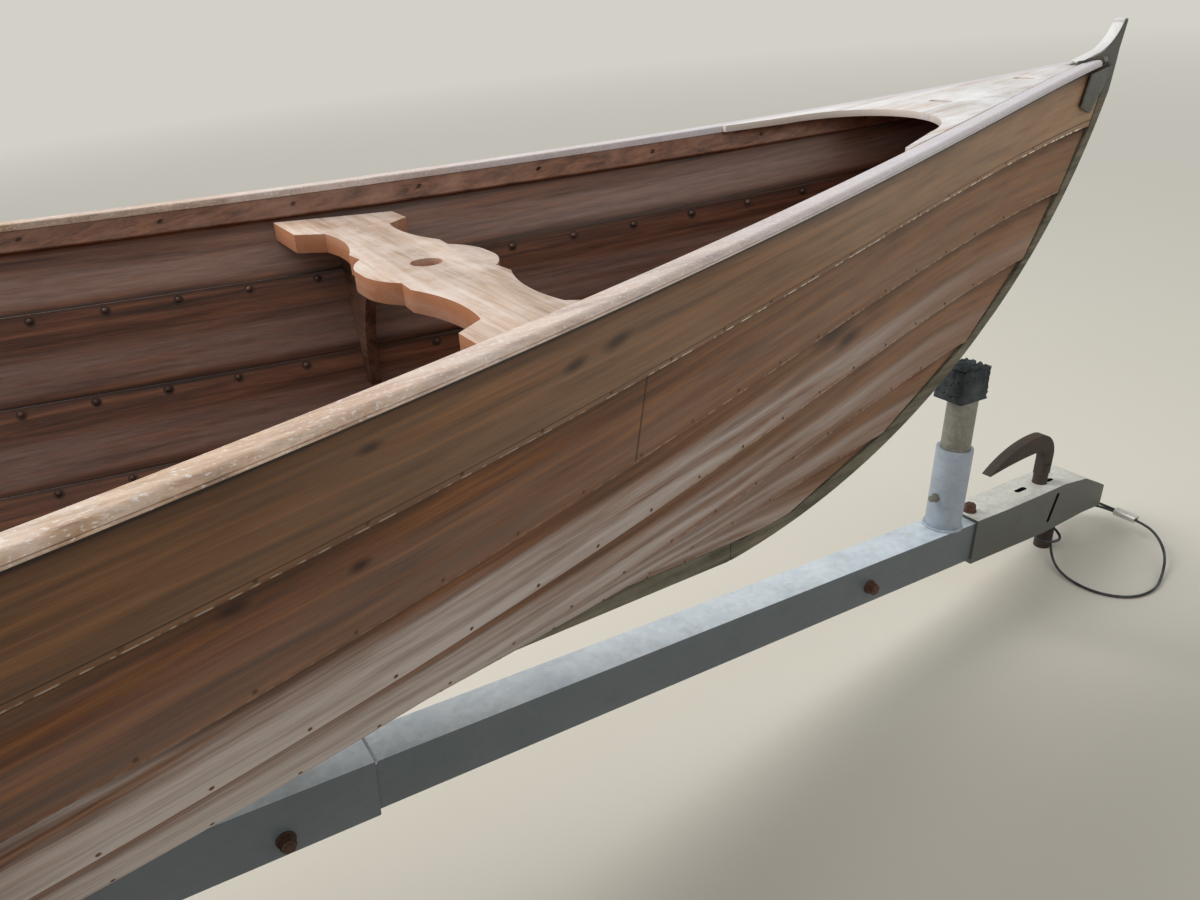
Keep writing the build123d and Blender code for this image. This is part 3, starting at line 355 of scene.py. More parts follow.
# inside faces: deep red-brown varnish with dust and a painted sheen
plankInner = plankInside("old_varnished_planking_inside", {
    "dark": "#3C1F13", "mid": "#6C402A", "light": "#8C5A3C", "haze": "#9C8277", "seam": "#1D0F0A",
    "dustAndSheen": 0.7, "roughness": 0.38, "coat": 0.12, "shine": 0.35, "pores": 0.55})

# Sawn and planed boards. Larch gone grey-green where the varnish has left it; the stem's head is paler on top
keelLook = {"dark": "#45402F", "mid": "#6A6352", "light": "#857B66", "haze": "#8C8676", "wear": 0.35,
            "roughness": 0.6, "pores": 0.5}
keelWood = plainWood("worn_larch_keel_and_stem", keelLook, "x")
stemWood = plainWood("stem_with_weathered_head", keelLook, "x",
                     head={"sides": "#5A5A56", "top": "#DAD7D4", "from": (0.64, 0.67)})
# bare ash: honey coloured amidships, silver white and speckled towards the bow
gunwaleWood = plainWood("weathered_ash_gunwale", {
    "dark": "#946C4A", "mid": "#CFA985", "light": "#E4C8AC", "haze": "#DED2C8", "wear": 0.45,
    "roughness": 0.58, "coat": 0.05, "pores": 0.55, "bleach": "#D0CCD1", "speck": "#F2EFEC"}, "x")
# dark red rail, scuffed to a dusty pink
inwaleWood = plainWood("varnished_mahogany_inwale", {
    "dark": "#4A2A1A", "mid": "#7C4E36", "light": "#96684C", "haze": "#A1806E", "wear": 0.3,
    "roughness": 0.42, "coat": 0.2, "pores": 0.5}, "x")
# pale cedar, nearly white where the sun has bleached it, under a thin worn gloss
deckWood = plainWood("worn_cedar_deck", {
    "dark": "#CBB0A0", "mid": "#DFD8D3", "light": "#ECEAE9", "haze": "#F0F0F1", "wear": 0.85,
    "roughness": 0.42, "coat": 0.3, "pores": 0.25}, "x", edge="#CDBDB0")
# pale larch with a dull sheen, warm orange on the sawn edges
thwartWood = plainWood("bare_larch_thwart", {
    "dark": "#A88468", "mid": "#CBAE98", "light": "#DDCABB", "haze": "#DFD3CB", "wear": 0.5,
    "roughness": 0.48, "coat": 0.15, "pores": 0.35}, "y", edge="#AE6C40")
# boards and timbers in the bottom: brown and dusty, in the shade of the hull
darkWoodLook = {"dark": "#2E1A10", "mid": "#5A3826", "light": "#7A5038", "haze": "#8A7468", "wear": 0.35,
                "roughness": 0.5, "coat": 0.1, "pores": 0.5}
darkWoodX = plainWood("dark_varnished_boards", darkWoodLook, "x")
darkWoodY = plainWood("dark_varnished_crossways_timber", darkWoodLook, "y")

# Steel dipped in zinc: chalky blue-white with faint spangles, its near-white tone partly a painted sky
# reflection, its upright sides painted dark as shade
zinc = metalMaterial("hot_dip_galvanised_steel", {
    "clean": "#E4EDF3", "dull": "#C8D4DC", "dirt": "#90928C", "dirtShare": 0.3, "cell": 9.0,
    "metallic": 0.2, "roughness": 0.42, "side": "#4C5355", "sideShade": 0.9, "bump": 0.1})
# younger zinc on the bow post: smooth and bluish
postZinc = metalMaterial("galvanised_steel_post", {
    "clean": "#A8B1BC", "dull": "#98A2AE", "dirt": "#7A7B78", "dirtShare": 0.3, "cell": 9.0,
    "metallic": 0.25, "roughness": 0.42, "bump": 0.1})
# drawn tube with a greyish brown film
tubeSteel = metalMaterial("weathered_zinc_inner_tube", {
    "clean": "#8F8D84", "dull": "#6F6E66", "dirt": "#6A5A4A", "dirtShare": 0.4, "cell": 6.0,
    "metallic": 0.35, "roughness": 0.5, "bump": 0.15})
# pressed head: greasy pale top, its flanks painted dark as shade, with streaks of dirt
headZinc = metalMaterial("galvanised_coupling_dirt_and_painted_shade", {
    "clean": "#DEDDD4", "dull": "#C2C0B5", "dirt": "#8C8474", "dirtShare": 0.55, "cell": 7.0,
    "metallic": 0.2, "roughness": 0.5, "side": "#50524D", "sideShade": 0.93, "bump": 0.15})
# forged handle: brown-black scale, coarse and matt
rust = metalMaterial("rusted_forged_iron", {
    "clean": "#4B4039", "dull": "#342D29", "dirt": "#5C4132", "dirtShare": 0.4, "cell": 2.5,
    "metallic": 0.35, "roughness": 0.65, "bump": 0.5})
# bolts: orange-brown rust that stands out from the zinc
boltRust = metalMaterial("rusty_bolt_steel", {
    "clean": "#5F463A", "dull": "#3B2C26", "dirt": "#7C4C34", "dirtShare": 0.6, "cell": 1.5,
    "metallic": 0.3, "roughness": 0.7, "bump": 0.5})
# stem-head plates: dark grey rolled steel
darkSteel = metalMaterial("weathered_dark_steel_plate", {
    "clean": "#6A6A66", "dull": "#484846", "dirt": "#6B5A4C", "dirtShare": 0.4, "cell": 3.0,
    "metallic": 0.4, "roughness": 0.5, "bump": 0.3})
# sand-cast hubs: grainy mid grey with brown dust
hubIron = metalMaterial("cast_iron_hub", {
    "clean": "#7A7B7C", "dull": "#5B5C5D", "dirt": "#6B4A38", "dirtShare": 0.5, "cell": 2.5,
    "metallic": 0.4, "roughness": 0.6, "bump": 0.35})
# sprayed rims: even light silver, road film in the hollows
rimPaint = metalMaterial("silver_painted_pressed_steel", {
    "clean": "#C4C7C7", "dull": "#A9ACAC", "dirt": "#6E675C", "dirtShare": 0.35, "cell": 4.0,
    "metallic": 0.25, "roughness": 0.4, "bump": 0.12})
# crimped ferrule: soft bright aluminium
ferruleMetal = metalMaterial("crimped_aluminium_ferrule", {
    "clean": "#D9D8D2", "dull": "#B5B3AC", "dirt": "#7E7A70", "dirtShare": 0.25, "cell": 2.0,
    "metallic": 0.5, "roughness": 0.35, "bump": 0.2})
# rivet ends: nearly black copper with rubbed brown spots
copper = metalMaterial("tarnished_copper_rivets", {
    "clean": "#5E463A", "dull": "#2E211B", "dirt": "#8A6A58", "dirtShare": 0.35, "cell": 1.5,
    "metallic": 0.5, "roughness": 0.45, "bump": 0.3})
# roves under the rivet ends: dark brown rings
roveCopper = metalMaterial("rubbed_copper_roves", {
    "clean": "#4A3B33", "dull": "#2C231E", "dirt": "#221B17", "dirtShare": 0.4, "cell": 1.5,
    "metallic": 0.5, "roughness": 0.4, "bump": 0.3})
# nail heads on the outside, varnished over: small brown dots
nailHead = metalMaterial("varnished_nail_heads", {
    "clean": "#6A4A34", "dull": "#4E3524", "dirt": "#7A5E48", "dirtShare": 0.4, "cell": 1.5,
    "metallic": 0.0, "roughness": 0.6, "bump": 0.3})

# dull, bloomed grey
rubber = rubberMaterial("moulded_black_rubber", {"dark": "#24282B", "paleWash": "#4A5052", "roughness": 0.75})
# blacker, with road dust in the grit
tyreRubber = rubberMaterial("tyre_rubber", {"dark": "#1E1F21", "paleWash": "#3A3A3A", "roughness": 0.8})
# a smoother plastic skin
cableCoat = rubberMaterial("dark_coated_wire_rope", {"dark": "#26272A", "paleWash": "#55575A", "roughness": 0.5})
# painted shade in the slots' recesses, nearly black
grimeAndShade = rubberMaterial("painted_slot_shade", {"dark": "#0E0D0C", "paleWash": "#1C1A18", "roughness": 0.9})
print("materials made")

# Safety cable: the route's points in metres, ahead of the nose, y and height
cable = {"radius": 0.0025, "length": 1.066}
cableRoute = (
    (0.0001, -0.062, 0.039), (0.0001, -0.036, 0.039), (-0.001, -0.005, 0.040), (-0.026, 0.033, 0.041),
    (-0.090, 0.0315, 0.038), (-0.1663, 0.0187, 0.033), (-0.1836, -0.0112, 0.032), (-0.176, -0.038, 0.033),
    (-0.1458, -0.038, 0.033), (-0.1068, 0.036, 0.030), (-0.026, 0.038, 0.033), (-0.009, 0.0, 0.034),
    (-0.0061, -0.0366, 0.039), (-0.0061, -0.112, 0.039), (-0.018, -0.147, 0.033), (-0.044, -0.179, 0.019),
    (-0.085, -0.200, 0.007), (-0.135, -0.217, 0.0029), (-0.185, -0.205, 0.0029), (-0.216, -0.165, 0.0030),
    (-0.222, -0.115, 0.0032), (-0.210, -0.072, 0.006), (-0.184, -0.040, 0.014), (-0.160, -0.022, 0.021),
)
cableCurve = bpy.data.curves.new("safety_wire", "CURVE")
cableCurve.dimensions = "3D"
spline = cableCurve.splines.new("NURBS")
spline.points.add(len(cableRoute) - 1)
for point, (x, y, z) in zip(spline.points, cableRoute):
    point.co = (placing["noseX"] + x, y, z, 1)
spline.order_u = 3
spline.use_endpoint_u = True
spline.resolution_u = 12
cableCurve.bevel_depth = cable["radius"]
cableCurve.bevel_resolution = 4
cableCurve.use_fill_caps = True
cableCurve.materials.append(cableCoat)
cablePiece = bpy.data.objects.new("safety_wire", cableCurve)
bpy.context.scene.collection.objects.link(cablePiece)
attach(cablePiece, boatBody)
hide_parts("safety_cable")
print("cable laid")


def newPiece(name, mesh, materials, body=boatBody, stands=()):
    for material in materials:
        mesh.materials.append(material)
    piece = bpy.data.objects.new(name, mesh)
    bpy.context.scene.collection.objects.link(piece)
    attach(piece, body)
    if stands:
        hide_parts(*stands)
    return piece


def smoothed(mesh, angle):
    mesh.polygons.foreach_set("use_smooth", [True] * len(mesh.polygons))
    mesh.set_sharp_from_angle(angle=math.radians(angle))


def turnOutwards(mesh):
    work = bmesh.new()
    work.from_mesh(mesh)
    bmesh.ops.recalc_face_normals(work, faces=work.faces)
    work.to_mesh(mesh)
    work.free()


def meshOf(name, vertices, faces):
    mesh = bpy.data.meshes.new(name)
    mesh.from_pydata(vertices, [], faces)
    return mesh


# Hull lines in millimetres in the boat's own frame: name, where each ends on the stem and its height there,
# breadth and height amidships, fullness, fineness and rise
hull = {
    "lines": (
        ("sheer", 2263.0, 680.0, 580.0, 510.0, 1.52, 1.22, 1.82),
        ("lap1", 2238.0, 590.0, 510.0, 405.0, 1.68, 1.55, 2.0),
        ("lap2", 2190.0, 495.0, 458.0, 303.0, 1.85, 1.66, 2.0),
        ("lap3", 2130.0, 400.0, 390.0, 210.0, 1.86, 1.485, 2.0),
        ("lap4", 2019.0, 285.0, 298.0, 122.0, 1.90, 1.30, 2.0),
        ("lap5", 1851.0, 170.0, 172.0, 52.0, 2.00, 1.20, 2.0),
        ("keel", 1669.0, 79.0, 15.2, 30.0, 2.00, 1.00, 2.0),
    ),
    "stemHalf": 15.0, "stemGap": 0.2, "plank": 9.0, "seam": 0.45, "land": 14.0, "topLean": 0.3,
    "thinFrom": 0.93, "landEnd": 3.6, "hoodEnd": 5.0, "edgeLeast": 2.0, "landLeast": 1.6,
    "keelSweep": 9.0, "sweepFrom": 0.93, "stations": 72,
    "fair": (0.06, 0.05),  # smoothing of the two upper lines amidships
    "arris": 0.0009, "arrisAngle": 35,  # the planks' planed edges, in metres and degrees
}


def hullPoint(line, u):
    name, xEnd, zEnd, breadth, zMid, full, fine, rise = hull["lines"][line]
    v = abs(u)
    start = hull["stemHalf"] + hull["stemGap"]
    soft = hull["fair"][line] if line < len(hull["fair"]) else 0.0
    w = v + (math.hypot(v, soft) - v) * (1 - v) ** 2
    y = start + (breadth - start) * max(0.0, 1 - w ** full) ** fine
    z = zMid + (zEnd - zMid) * v ** rise
    if name == "keel":
        z += hull["keelSweep"] * max(0.0, (v - hull["sweepFrom"]) / (1 - hull["sweepFrom"])) ** 2
    return xEnd * u, y, z


def unit(y, z):
    size = math.hypot(y, z)
    return y / size, z / size


def strakeSections(u):
    # outline of each strake at a fraction of its half length; its ends thin out towards the stem. In y and z,
    # c is the lap's lower edge on the plank above, t its top, g either of them with the seam's gap, and e this
    # plank's own slope
    out = []
    points = [hullPoint(i, u) for i in range(7)]
    t = max(0.0, (abs(u) - hull["thinFrom"]) / (1 - hull["thinFrom"]))
    reach = hull["land"] + (hull["landEnd"] - hull["land"]) * t
    plank, seam = hull["plank"], hull["seam"]
    thick = plank + (hull["hoodEnd"] - plank) * t
    upper = None
    for i in range(6):
        (x0, y0, z0), (x1, y1, z1) = points[i], points[i + 1]
        if i == 0:
            ey, ez = unit(y0 - y1, z0 - z1)
            out.append([(x0, y0, z0), (x1, y1, z1), (x1, y1 - thick * ez, z1 + thick * ey), None,
                        (x0, y0 - plank / max(ez, hull["topLean"]), z0)])
        else:
            # the next plank starts on the bevelled land of the one above
            uy, uz = upper
            cy, cz = y0 - thick * uz, z0 + thick * uy
            ty, tz = cy + reach * uy, cz + reach * uz
            cgy, cgz = cy - seam * uz, cz + seam * uy
            tgy, tgz = ty - seam * uz, tz + seam * uy
            ey, ez = unit(cgy - y1, cgz - z1)
            if math.atan2(ey, ez) < math.atan2(uy, uz) - 1e-4:
                ey, ez = unit(tgy - y1, tgz - z1)
                ly, lz = tgy + seam * ez, tgz - seam * ey
                cross = -uz * ez - uy * ey
                s = max(hull["landLeast"], min(thick, ((ly - y0) * ez - (lz - z0) * ey) / cross))
                out[-1][-3] = (x0, y0 - s * uz, z0 + s * uy)
                along = (cgy - y1) * ey + (cgz - z1) * ez
                mid = (x0, y1 + along * ey, z1 + along * ez)
            else:
                mid = (x0, cgy, cgz)
            out[-1][-2] = (x0, ty, tz)
            up = (tgy - y1) * ey + (tgz - z1) * ez
            aOut = (x0, tgy, tgz)
            aIn = (x0, y1 - thick * ez + up * ey, z1 + thick * ey + up * ez)
            left = (aOut[1] - aIn[1]) * ez - (aOut[2] - aIn[2]) * ey
            left = max(left, hull["edgeLeast"]) * (1 - t) + hull["landEnd"] * t
            aIn = (x0, aOut[1] - left * ez, aOut[2] + left * ey)
            out.append([aOut, mid, (x1, y1, z1), (x1, y1 - thick * ez, z1 + thick * ey), None, aIn])
        upper = (ey, ez)
    out[-1].pop(4)
    if t > 0:
        for i, section in enumerate(out):
            (xa, _, za), (xb, _, zb) = points[i], points[i + 1]
            lean = (xa - xb) / (za - zb)
            out[i] = [(x + (xb + (z - zb) * lean - x) * t, y, z) for x, y, z in section]
    return out


# Metres by which the grain's pattern moves from one face of a piece to the next, so that no two match
grainShift = {"first": 5.3, "step": 0.37, "endStep": 0.005, "endEdge": 0.05}


def onBoat(x, y, z):
    return boatMatrix @ Vector((x / 1000, y / 1000, z / 1000))


def loftedPair(name, rows, materialOf):
    # port and starboard solid through the same rows; grain is in metres along and round each section,
    # edges holds the distance from each face's first and second edge
    vertices, faces, slots, grain, edges = [], [], [], [], []
    count = len(rows[0])
    for side in (1, -1):
        base = len(vertices)
        runs = []
        for row in rows:
            vertices += [onBoat(x, side * y, z) for x, y, z in row]
            run = [0.0]
            for a, b in zip(row, row[1:] + row[:1]):
                run.append(run[-1] + math.dist(a[1:], b[1:]) / 1000)
            runs.append(run)
        for i in range(len(rows) - 1):
            for j in range(count):
                k = (j + 1) % count
                corners = [(i, j, j, 0), (i + 1, j, j, 0), (i + 1, k, j + 1, 1), (i, k, j + 1, 1)]
                if side == 1:
                    corners.reverse()
                faces.append([base + r * count + c for r, c, _, _ in corners])
                slots.append(materialOf(j))
                shift = 0.0 if side == -1 and j < 3 else j * grainShift["step"] + grainShift["first"]
                for r, c, m, foot in corners:
                    grain.append((rows[r][c][0] / 1000, runs[r][m] + shift))
                    wide = runs[r][j + 1] - runs[r][j]
                    edges.append((wide * foot, wide * (1 - foot)))
        for r in (0, len(rows) - 1):
            faces.append([base + r * count + c for c in range(count)])
            slots.append(materialOf(0))
            grain += [(rows[r][c][0] / 1000, c * grainShift["endStep"]) for c in range(count)]
            edges += [(grainShift["endEdge"],) * 2] * count
    mesh = meshOf(name, vertices, faces)
    for mapName, values in (("grain", grain), ("edges", edges)):
        layer = mesh.uv_layers.new(name=mapName)
        layer.data.foreach_set("uv", [c for pair in values for c in pair])
    mesh.polygons.foreach_set("material_index", slots)
    turnOutwards(mesh)
    smoothed(mesh, 25)
    return mesh


count = hull["stations"]
stationList = [0.5 * math.sin(math.pi / 2 * i / count) + 0.5 * i / count for i in range(-count, count + 1)]
sectionTable = [strakeSections(u) for u in stationList]
outsideOf = [plankSheer, plankUpper, plankSmudged, plankReflecting, plankRubbed, plankReflecting]
for index, outside in enumerate(outsideOf):
    name = f"plank_strake_{index + 1}"
    outer = (0, 1) if index == 0 else (1, 2)  # the faces of the section that lie outside
    mesh = loftedPair(name, [sections[index] for sections in sectionTable],
                      lambda face, outer=outer: 0 if face in outer else 1)
    piece = newPiece(name, mesh, [outside, plankInner],
                     stands=[f"strake_{index + 1}"])
    ease = piece.modifiers.new("ease", "BEVEL")
    ease.width = hull["arris"]
    ease.segments = 2
    ease.limit_method = "ANGLE"
    ease.angle_limit = math.radians(hull["arrisAngle"])
print("planks lofted")

# Gunwale in millimetres: rounded cap with a bead along its foot, and the inwale inside the sheer strake
gunwale = {"capThick": 8.5, "capOut": 3.0, "capIn": 0.6, "capUp": 0.3, "coreHalf": 5.0, "coreGap": 0.6,
           "bead": 2.4, "groove": 0.9, "outerRound": 5.5, "innerRound": 2.5, "capReach": 0.985,
           "deckLap": 0.5, "deckFrom": 0.74, "deckTo": 0.96,
           "inwaleWide": 10.0, "inwaleDeep": 24.0, "inwaleGap": 0.4, "inwaleRound": 3.0, "inwaleReach": 0.93}


def capEdges(u):
    top = strakeSections(u)[0]
    outer = top[0][1] + gunwale["capOut"]
    inner = max(top[-1][1] - gunwale["inwaleGap"] - gunwale["inwaleWide"] - gunwale["capIn"],
                gunwale["coreHalf"] + gunwale["coreGap"])
    if gunwale["deckFrom"] < abs(u) < gunwale["deckTo"]:
        inner -= gunwale["deckLap"]
    return top[0][0], outer, inner, top[0][2] + gunwale["capUp"]


def capRing(outer, inner, low, high):
    # half-round bead below a groove on the outside, then the rounded top
    bead, groove, small = gunwale["bead"] / 2, gunwale["groove"], gunwale["innerRound"]
    ring = [(inner, low), (outer - bead, low)]
    ring += [(outer - bead + bead * math.cos(math.radians(a)), low + bead + bead * math.sin(math.radians(a)))
             for a in (-45, 0, 45)]
    ring.append((outer - bead - groove * 0.6, low + 2 * bead + 0.3))
    wide, tall = min(gunwale["outerRound"], (outer - inner) / 2), high - low - 2 * bead - 0.6
    for a in (-30, 0, 20, 40, 60, 80, 90):
        ring.append((outer - wide + wide * math.cos(math.radians(a)) - (0.4 if a < 0 else 0.0),
                     high - tall + tall * max(-0.02, math.sin(math.radians(a)))))
    for a in (30, 60, 90):
        ring.append((inner + small - small * math.sin(math.radians(a)),
                     high - small + small * math.cos(math.radians(a))))
    return ring


def inwaleRing(top):
    # hangs from the sheer strake's upper edge and follows its lean; the inner lower corner is rounded
    (_, yTop, zTop), (_, yLow, zLow) = top[-1], top[-2]
    lean = gunwale["inwaleDeep"] / (zTop - zLow) * (yTop - yLow)
    outer, wide, radius = yTop - gunwale["inwaleGap"], gunwale["inwaleWide"], gunwale["inwaleRound"]
    foot = zTop - gunwale["inwaleDeep"]
    ring = [(outer, zTop), (outer - lean, foot)]
    for a in (math.radians(30 * i) for i in range(4)):
        ring.append((outer - lean - wide + radius * (1 - math.sin(a)), foot + radius * (1 - math.cos(a))))
    return ring + [(outer - wide, zTop)]


capRows = []
for x, outer, inner, low in (capEdges(u * gunwale["capReach"]) for u in stationList):
    capRows.append([(x, y, z) for y, z in capRing(outer, inner, low, low + gunwale["capThick"])])
newPiece("gunwale_roll", loftedPair("gunwale_roll", capRows, lambda face: 0), [gunwaleWood],
         stands=["gunwale_cap"])
inwaleRows = []
for top in (strakeSections(u * gunwale["inwaleReach"])[0] for u in stationList):
    inwaleRows.append([(top[-1][0], y, z) for y, z in inwaleRing(top)])
newPiece("inwale_rail", loftedPair("inwale_rail", inwaleRows, lambda face: 0), [inwaleWood],
         stands=["inwale"])
print("gunwale shaped")

# How a solid is copied: loose triangles merge, flat faces become whole, sharper edges than this are eased
copying = {"merge": 0.00002, "flat": 1.0, "sharp": 30, "segments": 2, "profile": 0.6}


def wholeCopy(node):
    work = bmesh.new()
    work.from_mesh(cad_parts[node].data)
    bmesh.ops.remove_doubles(work, verts=work.verts, dist=copying["merge"])
    flat = math.radians(copying["flat"])
    bmesh.ops.dissolve_limit(work, angle_limit=flat, verts=work.verts, edges=work.edges)
    return work


def markUpright(mesh, matrix):
    # 1 on faces that lie flat on the boat or bar, 0 on its upright sides; and each face's height there
    up = (matrix.to_3x3() @ Vector((0, 0, 1))).normalized()
    flat = mesh.attributes.new("upright", "FLOAT", "FACE")
    high = mesh.attributes.new("high", "FLOAT", "FACE")
    inverse = matrix.inverted()
    for polygon in mesh.polygons:
        flat.data[polygon.index].value = abs(polygon.normal.dot(up))
        high.data[polygon.index].value = (inverse @ polygon.center).z


def softened(node, material, slot, width, matrix, body=boatBody):
    # a copy of a solid with its edges eased, as a plane or file leaves them
    work = wholeCopy(node)
    if width:
        edges = [e for e in work.edges
                 if e.is_manifold and e.calc_face_angle(0) > math.radians(copying["sharp"])]
        bmesh.ops.bevel(work, geom=edges, offset=width, segments=copying["segments"],
                        profile=copying["profile"], affect="EDGES", clamp_overlap=True)
    work.normal_update()
    mesh = bpy.data.meshes.new(node + "_eased")
    work.to_mesh(mesh)
    work.free()
    markUpright(mesh, matrix)
    smoothed(mesh, 30)
    return newPiece(node + "_eased", mesh, [material], body, [node])


# Solids whose shape is right: each one's finish, slot and the width of its eased edges in metres
boatSolids = (
    ("keel", keelWood, "keel_wood", 0.0025), ("stem", stemWood, "keel_wood", 0.0025),
    ("sternpost", stemWood, "keel_wood", 0.0025), ("fore_deck", deckWood, "deck_wood", 0.0015),
    ("aft_deck", deckWood, "deck_wood", 0.0015), ("fore_thwart", thwartWood, "thwart_wood", 0.002),
    ("rowing_thwart", thwartWood, "thwart_wood", 0.002), ("aft_thwart", thwartWood, "thwart_wood", 0.002),
    ("thwart_knees", darkWoodY, "inside_wood", 0.0015), ("floor_timbers", darkWoodY, "inside_wood", 0.0015),
    ("floorboards", darkWoodX, "inside_wood", 0.0015), ("mast_step", darkWoodX, "inside_wood", 0.002),
    ("rowlock_blocks", gunwaleWood, "gunwale_wood", 0.002),
    ("foot_stretcher", darkWoodY, "inside_wood", 0.002), ("stem_plates", darkSteel, "dark_steel", 0.0005),
)
trailerSolids = (
    ("drawbar_front", zinc, "galvanised_steel", 0.005), ("drawbar_rear", zinc, "galvanised_steel", 0.005),
    ("coupling_housing", headZinc, "galvanised_steel", 0.003), ("coupling_lever", rust, "rusted_iron", 0.002),
    ("coupling_foot", rust, "rusted_iron", 0.0015), ("post_sleeve", postZinc, "galvanised_steel", 0.0006),
    ("post_inner", tubeSteel, "galvanised_steel", 0.0006), ("keel_chocks", rubber, "black_rubber", 0.003),
    ("axle_beam", zinc, "galvanised_steel", 0.003), ("axle_arms", zinc, "galvanised_steel", 0.0015),
    ("axle_saddle", zinc, "galvanised_steel", 0.0015), ("saddle_bolts", zinc, "galvanised_steel", 0),
    ("side_supports", zinc, "galvanised_steel", 0.0015), ("support_pads", rubber, "black_rubber", 0.003),
    ("mudguards", zinc, "galvanised_steel", 0.0006), ("mudguard_stays", zinc, "galvanised_steel", 0.001),
    ("cable_ferrule", ferruleMetal, "ferrule_metal", 0),
)
for solid in boatSolids:
    softened(*solid, boatMatrix)
for solid in trailerSolids:
    softened(*solid, barMatrix)
for side in ("left", "right"):
    softened(f"rim_{side}", rimPaint, "painted_steel", 0.001, barMatrix, f"wheel_{side}")
    softened(f"hub_{side}", hubIron, "hub_iron", 0.001, barMatrix, f"wheel_{side}")
print("solids eased")

# Recesses in the pressed coupling head, in metres in the bar's own frame: two slots in its top beside the
# handle and a raked one in its side
recess = {"top": (("top_slot", -0.246, 0.0, 0.0075, 0.030, 0.010),
                  ("handle_slot", -0.170, -0.006, 0.011, 0.020, 0.009)),
          "topDeep": 0.005, "clear": 0.02,
          "sideFrom": (-0.178, -0.006), "sideTo": (-0.193, -0.055), "sideWide": 0.009, "sideDeep": 0.005,
          "sideFace": -0.034, "sideClear": -0.06}


def slotCutter(name, ends, wide, axis, low, high):
    # a round-ended slot between two points, cut along one axis of the bar
    (a0, b0), (a1, b1) = ends
    turn, outline = math.atan2(b1 - b0, a1 - a0), []
    for a, b, quarter in ((a0, b0, 0.5), (a1, b1, -0.5)):
        for t in (turn + math.pi * (quarter + i / 8) for i in range(9)):
            outline.append((a + wide / 2 * math.cos(t), b + wide / 2 * math.sin(t)))
    many = len(outline)
    vertices = [barMatrix @ Vector((a, b, level) if axis == "z" else (a, level, b))
                for level in (low, high) for a, b in outline]
    faces = [list(range(many)), list(range(many, 2 * many))]
    faces += [(i, (i + 1) % many, many + (i + 1) % many, many + i) for i in range(many)]
    mesh = meshOf(name, vertices, faces)
    turnOutwards(mesh)
    # the cutter's faces carry the nearly black painted shade onto the walls of the cut slot
    mesh.materials.append(grimeAndShade)
    cutter = bpy.data.objects.new(name, mesh)
    bpy.context.scene.collection.objects.link(cutter)
    return cutter


def cutFrom(piece, cutters):
    for cutter in cutters:
        modifier = piece.modifiers.new(cutter.name, "BOOLEAN")
        modifier.operation = "DIFFERENCE"
        modifier.object = cutter
        modifier.solver = "EXACT"
        modifier.material_mode = "TRANSFER"
    bpy.context.view_layer.update()
    cut = bpy.data.meshes.new_from_object(piece.evaluated_get(bpy.context.evaluated_depsgraph_get()))
    piece.modifiers.clear()
    piece.data = cut
    for cutter in cutters:
        bpy.data.objects.remove(cutter)


cutters = []
for name, x, y, z, long, wide in recess["top"]:
    half = (long - wide) / 2
    cutters.append(slotCutter(name, ((x - half, y), (x + half, y)), wide, "z",
                              z - recess["topDeep"], z + recess["clear"]))
cutters.append(slotCutter("side_slot", (recess["sideFrom"], recess["sideTo"]), recess["sideWide"], "y",
                          recess["sideFace"] + recess["sideDeep"], recess["sideClear"]))
cutFrom(bpy.data.objects["coupling_housing_eased"], cutters)
print("coupling slotted")

# Rubber block under the stem: perished, its top crumbled between shallow ribs. Metres in the bar's own frame.
snubber = {"foot": 0.238, "tall": 0.056, "grain": 0.0065, "narrow": 0.72, "taper": 0.06,
           "heel": -0.497, "heelLeft": 0.12, "ribs": 5, "ribDeep": 0.004, "ribsFrom": -0.47,
           "crumble": 0.0035, "crumbleFrom": 0.25, "ridges": 240, "seed": 4}


def crumbledBlock():
    work = wholeCopy("bow_snubber")
    bmesh.ops.triangulate(work, faces=work.faces)
    for _ in range(5):
        long = [e for e in work.edges if e.calc_length() > snubber["grain"]]
        bmesh.ops.subdivide_edges(work, edges=long, cuts=1)
        bmesh.ops.triangulate(work, faces=[f for f in work.faces if len(f.verts) > 3])
    inverse = barMatrix.inverted()
    rng = random.Random(snubber["seed"])
    for vertex in work.verts:
        p = inverse @ vertex.co
        high = (p.z - snubber["foot"]) / snubber["tall"]
        p.y *= snubber["narrow"] - snubber["taper"] * high
        if p.x < snubber["heel"]:
            p.x = snubber["heel"] + (p.x - snubber["heel"]) * snubber["heelLeft"]
        if p.x > snubber["ribsFrom"]:
            p.x -= snubber["ribDeep"] * abs(math.sin(high * math.pi * snubber["ribs"]))
        if high > snubber["crumbleFrom"]:
            p.z -= snubber["crumble"] * rng.random() * (1.0 + 2.0 * abs(math.sin(p.y * snubber["ridges"])))
        vertex.co = barMatrix @ p
    mesh = bpy.data.meshes.new("snubber_block")
    work.to_mesh(mesh)
    work.free()
    turnOutwards(mesh)
    smoothed(mesh, 40)
    newPiece("snubber_block", mesh, [rubber], stands=["bow_snubber"])


crumbledBlock()
print("rubber block crumbled")


